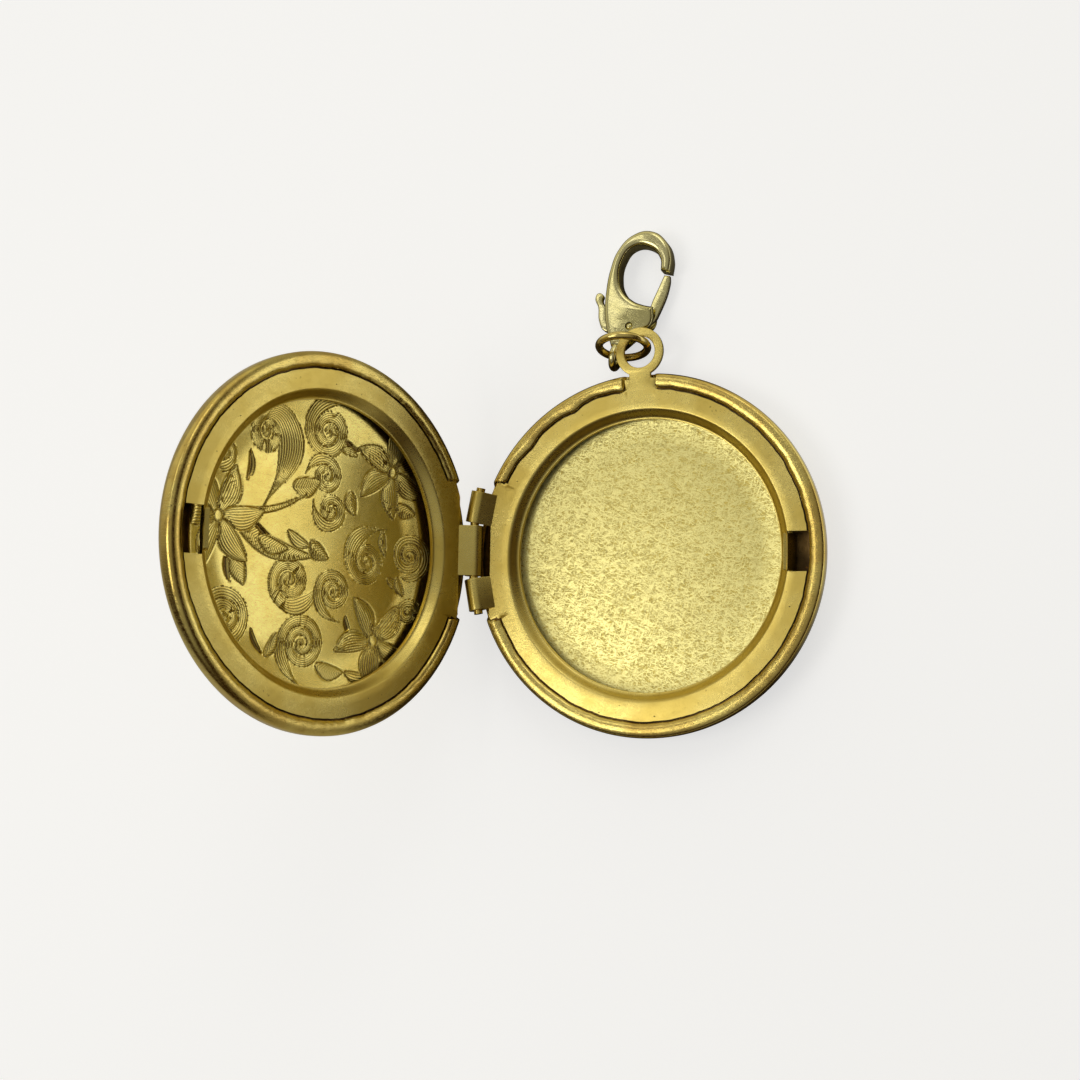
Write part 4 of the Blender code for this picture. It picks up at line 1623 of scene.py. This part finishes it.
@dataclass
class JumpRing:
    """Split ring of round wire."""

    radius: float = 2.15
    wire_radius: float = 0.35
    split: float = 5.0
    split_at: float = 12.0
    centre: tuple[float, float, float] = (-1.921, 18.514, 3.135)
    roll: float = 10.0
    lean: float = 14.0

    def build(self, tree: bpy.types.NodeTree) -> bpy.types.Object:
        """Build the ring.

        Args:
            tree: the wire tree.

        Returns:
            The ring.
        """
        place = shift(*self.centre) @ turn("Y", self.roll) @ turn("X", 90.0 - self.lean)
        steps = 96
        path = []
        for i in range(steps + 1):
            angle = math.radians(self.split_at + self.split / 2 + (360.0 - self.split) * i / steps)
            path.append(Vector((self.radius * math.cos(angle), self.radius * math.sin(angle), 0.0)))
        cloth = wire(tree, path, self.wire_radius, FINISH.wire, 24)
        item = piece("jump_ring_wire", cloth, place, [FINISH.wire])
        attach(item, "ring")
        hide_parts("jump_ring")
        return item


@dataclass
class Clasp:
    """Lobster clasp with its lever, rivet and spring."""

    origin: tuple[float, float, float] = (-3.205, 18.05, 1.474)
    roll: float = 4.0
    lean: float = 12.0
    thickness: float = 2.1
    rounding: float = 0.43
    eye: float = 1.0
    eye_wire: float = 0.34
    pivot: Point = (0.9, 2.75)
    pivot_radius: float = 0.3
    slot: float = 1.2
    lever: float = 0.7
    lever_middle: float = -0.19
    lever_rounding: float = 0.14
    slot_from: float = 1.3
    slot_to: float = 5.25
    spring_radius: float = 0.52
    spring_wire: float = 0.08
    spring_turns: float = 0.9
    spring_rise: Point = (0.31, 0.45)
    place: Matrix = field(init=False)

    def __post_init__(self) -> None:
        """Place the clasp in the world."""
        self.place = shift(*self.origin) @ turn("Y", self.roll) @ turn("Z", -self.lean)

    def hook_outline(self) -> Outline:
        """Hook and body, up the left side and round the hook to its tip, then back inside.

        Returns:
            The outline.
        """
        outer = [(-0.45, 0.75, True), (-1.15, 2.1, False), (-1.7, 3.7, False), (-2.0, 5.6, False),
                 (-2.05, 7.6, False), (-1.7, 9.5, False), (-0.6, 11.05, False), (1.0, 11.6, False),
                 (2.5, 10.9, False), (3.35, 9.5, False), (3.5, 8.15, True)]
        inner = [(2.62, 8.2, True), (2.3, 9.3, False), (1.0, 10.15, False), (-0.4, 9.9, False),
                 (-1.05, 8.7, False), (-1.0, 7.0, False), (-0.45, 5.9, False), (0.6, 5.15, False),
                 (1.6, 4.9, False), (2.65, 4.85, True), (2.85, 3.3, False), (1.6, 2.0, False),
                 (0.55, 0.75, True)]
        return outer + inner

    def lever_outline(self) -> Outline:
        """Gate on the right, hub, and the arm up to the trigger knob on the left.

        Returns:
            The outline.
        """
        gate = [(1.75, 2.6, False), (2.75, 3.5, False), (3.15, 4.6, False), (3.5, 7.3, False),
                (3.38, 7.95, True), (2.85, 7.95, True), (2.35, 5.8, False), (1.9, 4.2, False)]
        arm = [(0.9, 3.6, False), (0.1, 3.3, False), (-0.9, 2.75, False), (-1.75, 4.1, False),
               (-2.35, 4.85, False), (-2.4, 5.35, False), (-2.9, 5.5, False), (-3.1, 5.0, False),
               (-2.65, 4.2, False), (-2.3, 3.0, False), (-1.6, 2.15, False), (-0.4, 2.25, False),
               (0.6, 1.95, False)]
        return gate + arm

    def torus(self) -> Cloth:
        """Tail eye, a ring of wire that stands across the body.

        Returns:
            Its surface.
        """
        major, minor = 56, 20
        points, faces = [], []
        for i in range(major):
            a = 2 * math.pi * i / major
            for j in range(minor):
                b = 2 * math.pi * j / minor
                reach = self.eye + self.eye_wire * math.cos(b)
                points.append((self.eye_wire * math.sin(b), reach * math.cos(a), reach * math.sin(a)))
                here, there = i * minor, (i + 1) % major * minor
                faces.append((here + j, there + j, there + (j + 1) % minor, here + (j + 1) % minor))
        return Cloth(np.array(points), faces)

    def stud(self, radius: float, half: float, dome: float) -> Cloth:
        """Round pin along Z with domed heads.

        Args:
            radius: its radius.
            half: half its length.
            dome: height of each head.

        Returns:
            Its surface, on the pivot.
        """
        heights = [(radius * 0.35, -half), (radius * 0.8, -half + dome * 0.4), (radius, -half + dome),
                   (radius, half - dome), (radius * 0.8, half - dome * 0.4), (radius * 0.35, half)]
        angles = 2 * math.pi * np.arange(32) / 32
        rings = [np.stack([r * np.cos(angles), r * np.sin(angles), np.full_like(angles, z)], axis=1)
                 for r, z in heights]
        return revolve(np.array(rings)).moved(shift(*self.pivot, 0.0))

    def add(self, node: str, body: str, cloth: Cloth, finish: Finish) -> None:
        """Make one piece of the clasp and dress it.

        Args:
            node: name of the node that it stands for.
            body: body that it rides on.
            cloth: its surface.
            finish: its finish.
        """
        item = piece(f"{node}_metal", cloth, self.place, [finish])
        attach(item, body)
        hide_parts(node)

    def build(self, tree: bpy.types.NodeTree) -> None:
        """Build body, lever, rivet and spring.

        Args:
            tree: the wire tree.
        """
        body = slab([self.hook_outline()], self.thickness / 2, self.rounding, 10)
        body = cut(body, [self.torus()], "UNION")
        hole = self.stud(self.pivot_radius + 0.05, 2.0, 0.1)
        slot = block((-4, self.slot_from, -self.slot / 2), (4, self.slot_to, self.slot / 2))
        body = cut(body, [slot, hole])
        self.add("clasp_body", "clasp", body, FINISH.clasp)
        lever = slab([self.lever_outline()], self.lever / 2, self.lever_rounding, 10)
        lever = lever.moved(shift(0, 0, self.lever_middle))
        self.add("clasp_lever", "lever", cut(lever, [hole]), FINISH.clasp)
        rivet = self.stud(self.pivot_radius, self.thickness / 2 - 0.02, 0.12)
        self.add("clasp_pivot_pin", "clasp", rivet, FINISH.clasp)
        spring = wire(tree, self.spring_path(), self.spring_wire, FINISH.wire, 12)
        self.add("clasp_spring", "clasp", spring, FINISH.wire)

    def spring_path(self) -> list[Vector]:
        """Coil round the rivet.

        Returns:
            Points of the coil's centre line.
        """
        steps = 72
        low, high = self.spring_rise
        path = []
        for k in range(steps + 1):
            angle = 2 * math.pi * self.spring_turns * k / steps
            path.append(Vector((self.pivot[0] + self.spring_radius * math.cos(angle),
                                self.pivot[1] + self.spring_radius * math.sin(angle),
                                low + (high - low) * k / steps)))
        return path


# ----------------------------------------------------------------------- room


@dataclass(frozen=True)
class Lamp:
    """Square soft light, its place and side in millimetres and its power in watts."""

    name: str
    at: tuple[float, float, float]
    size: float
    power: float
    colour: Colour = (1.0, 0.98, 0.94)

    def build(self, target: tuple[float, float, float]) -> None:
        """Build the light.

        Args:
            target: the point in millimetres that it faces.
        """
        data = bpy.data.lights.new(self.name, "AREA")
        data.size, data.energy, data.color = self.size * MM, self.power, self.colour
        item = bpy.data.objects.new(self.name, data)
        item.location = Vector(self.at) * MM
        aim = Vector(target) * MM - item.location
        item.rotation_euler = aim.to_track_quat("-Z", "Y").to_euler()
        bpy.context.scene.collection.objects.link(item)


@dataclass
class Studio:
    """Pale floor, soft light and camera."""

    floor_size: float = 3.0
    floor_grey: float = 0.55
    floor_glow: float = 0.635
    mirror_glow: float = 0.85
    lens: float = 46.67
    camera_at: tuple[float, float, float] = (39.35, -10.52, 118.57)
    camera_tilt: tuple[float, float, float] = (5.839, 22.905, 1.048)
    mirrored_painted_shadow: Colour = (0.05, 0.035, 0.02)
    far_mirrored: Colour = (0.75, 0.73, 0.66)
    mirrored_span: Point = (21.0, 42.0)
    reflected_glow_centre: tuple[float, float, float] = (0.05, 0.02, 0.0)
    reflected_glow_span: Point = (26.0, 50.0)
    sky_side: tuple[float, float, float] = (-0.34, 0.94, 0.0)
    sky_dark: Colour = (0.03, 0.016, 0.006)
    sky_pale: Colour = (0.66, 0.62, 0.48)
    sky_top: Colour = (0.33, 0.32, 0.29)
    sky_seen: Colour = (0.88, 0.88, 0.87)
    lamp_target: tuple[float, float, float] = (-8.0, 0.0, 5.0)
    lamps: tuple[Lamp, ...] = (
        Lamp("key", (-118, -32, 222), 110, 0.09, (1.0, 0.98, 0.93)),
        Lamp("rim", (60, 230, 200), 120, 0.05),
        Lamp("top", (-80, 118, 222), 80, 0.02),
    )

    def floor(self) -> None:
        """Plain pale floor under the locket, with a painted shadow and a painted glow that only glossy rays
        see.
        """
        half = self.floor_size / 2
        mesh = bpy.data.meshes.new("floor")
        corners = [(-half, -half, 0), (half, -half, 0), (half, half, 0), (-half, half, 0)]
        mesh.from_pydata(corners, [], [(0, 1, 2, 3)])
        material = bpy.data.materials.new("floor_paper")
        material.use_nodes = True
        graph = Graph(material.node_tree)
        path = graph.add("ShaderNodeLightPath")
        coords = graph.add("ShaderNodeTexCoord").outputs["Object"]
        far = graph.add("ShaderNodeVectorMath", {"operation": "LENGTH"}, _0=coords).outputs["Value"]
        # Painted shadow: to glossy rays the floor is dark near the locket and paler farther out.
        away = graph.span(far, *(edge * MM for edge in self.mirrored_span))
        mirrored = graph.blend(away, self.mirrored_painted_shadow, self.far_mirrored)
        colour = graph.blend(path.outputs["Is Glossy Ray"], (self.floor_grey,) * 3, mirrored)
        # Painted glow: near the locket the floor glows to glossy rays only, as a bright reflection with no
        # lamp behind it.
        beside = graph.add("ShaderNodeVectorMath", {"operation": "DISTANCE"},
                           _0=coords, _1=self.reflected_glow_centre).outputs["Value"]
        painted_glow = graph.span(beside, *(edge * MM for edge in self.reflected_glow_span), self.mirror_glow, 0.0)
        glow = graph.math("ADD", graph.math("MULTIPLY", path.outputs["Is Camera Ray"], self.floor_glow),
                          graph.math("MULTIPLY", path.outputs["Is Glossy Ray"], painted_glow))
        shader = graph.add("ShaderNodeBsdfPrincipled", Base_Color=colour, Roughness=0.9,
                           Emission_Color=(1.0, 1.0, 1.0, 1.0), Emission_Strength=glow)
        graph.add("ShaderNodeOutputMaterial", Surface=shader.outputs[0])
        mesh.materials.append(material)
        item = bpy.data.objects.new("floor", mesh)
        item.location.z = -0.02 * MM
        bpy.context.scene.collection.objects.link(item)

    def sky(self) -> None:
        """Soft sky, bright overhead and dark at the horizon."""
        world = bpy.data.worlds.new("studio")
        world.use_nodes = True
        bpy.context.scene.world = world
        graph = Graph(world.node_tree)
        coords = graph.add("ShaderNodeTexCoord").outputs["Generated"]
        height = graph.add("ShaderNodeSeparateXYZ", Vector=coords).outputs["Z"]
        side = graph.add("ShaderNodeVectorMath", {"operation": "DOT_PRODUCT"},
                         _0=coords, _1=self.sky_side).outputs["Value"]
        low = graph.blend(graph.span(side, -0.1, 0.8), self.sky_dark, self.sky_pale)
        colour = graph.blend(graph.span(height, 0.3, 0.95), low, self.sky_top)
        seen = graph.add("ShaderNodeLightPath").outputs["Is Camera Ray"]
        colour = graph.blend(seen, colour, self.sky_seen)
        light = graph.add("ShaderNodeBackground", Color=colour, Strength=1.0)
        graph.add("ShaderNodeOutputWorld", Surface=light.outputs[0])

    def camera(self) -> None:
        """Camera above the back half, leaning towards the hinge."""
        data = bpy.data.cameras.new("camera")
        data.lens, data.sensor_width = self.lens, 36.0
        data.clip_start, data.clip_end = 0.005, 10.0
        item = bpy.data.objects.new("camera", data)
        item.location = Vector(self.camera_at) * MM
        item.rotation_euler = [math.radians(v) for v in self.camera_tilt]
        bpy.context.scene.collection.objects.link(item)
        bpy.context.scene.camera = item

    def build(self) -> None:
        """Set up the whole room."""
        self.floor()
        self.sky()
        for lamp in self.lamps:
            lamp.build(self.lamp_target)
        self.camera()
        bpy.context.scene.view_settings.view_transform = "Standard"


def main() -> None:
    """Build the locket and its room."""
    logging.basicConfig(level=logging.INFO, format="%(message)s")
    wires = wire_tree()
    specks, burrs = scatter_tree("specks", False), scatter_tree("burrs", True)
    BackHalf().build(specks, burrs)
    FrontHalf().build(specks, burrs)
    HingePin().build(wires)
    JumpRing().build(wires)
    Clasp().build(wires)
    Studio().build()


if __name__ == "__main__":
    main()
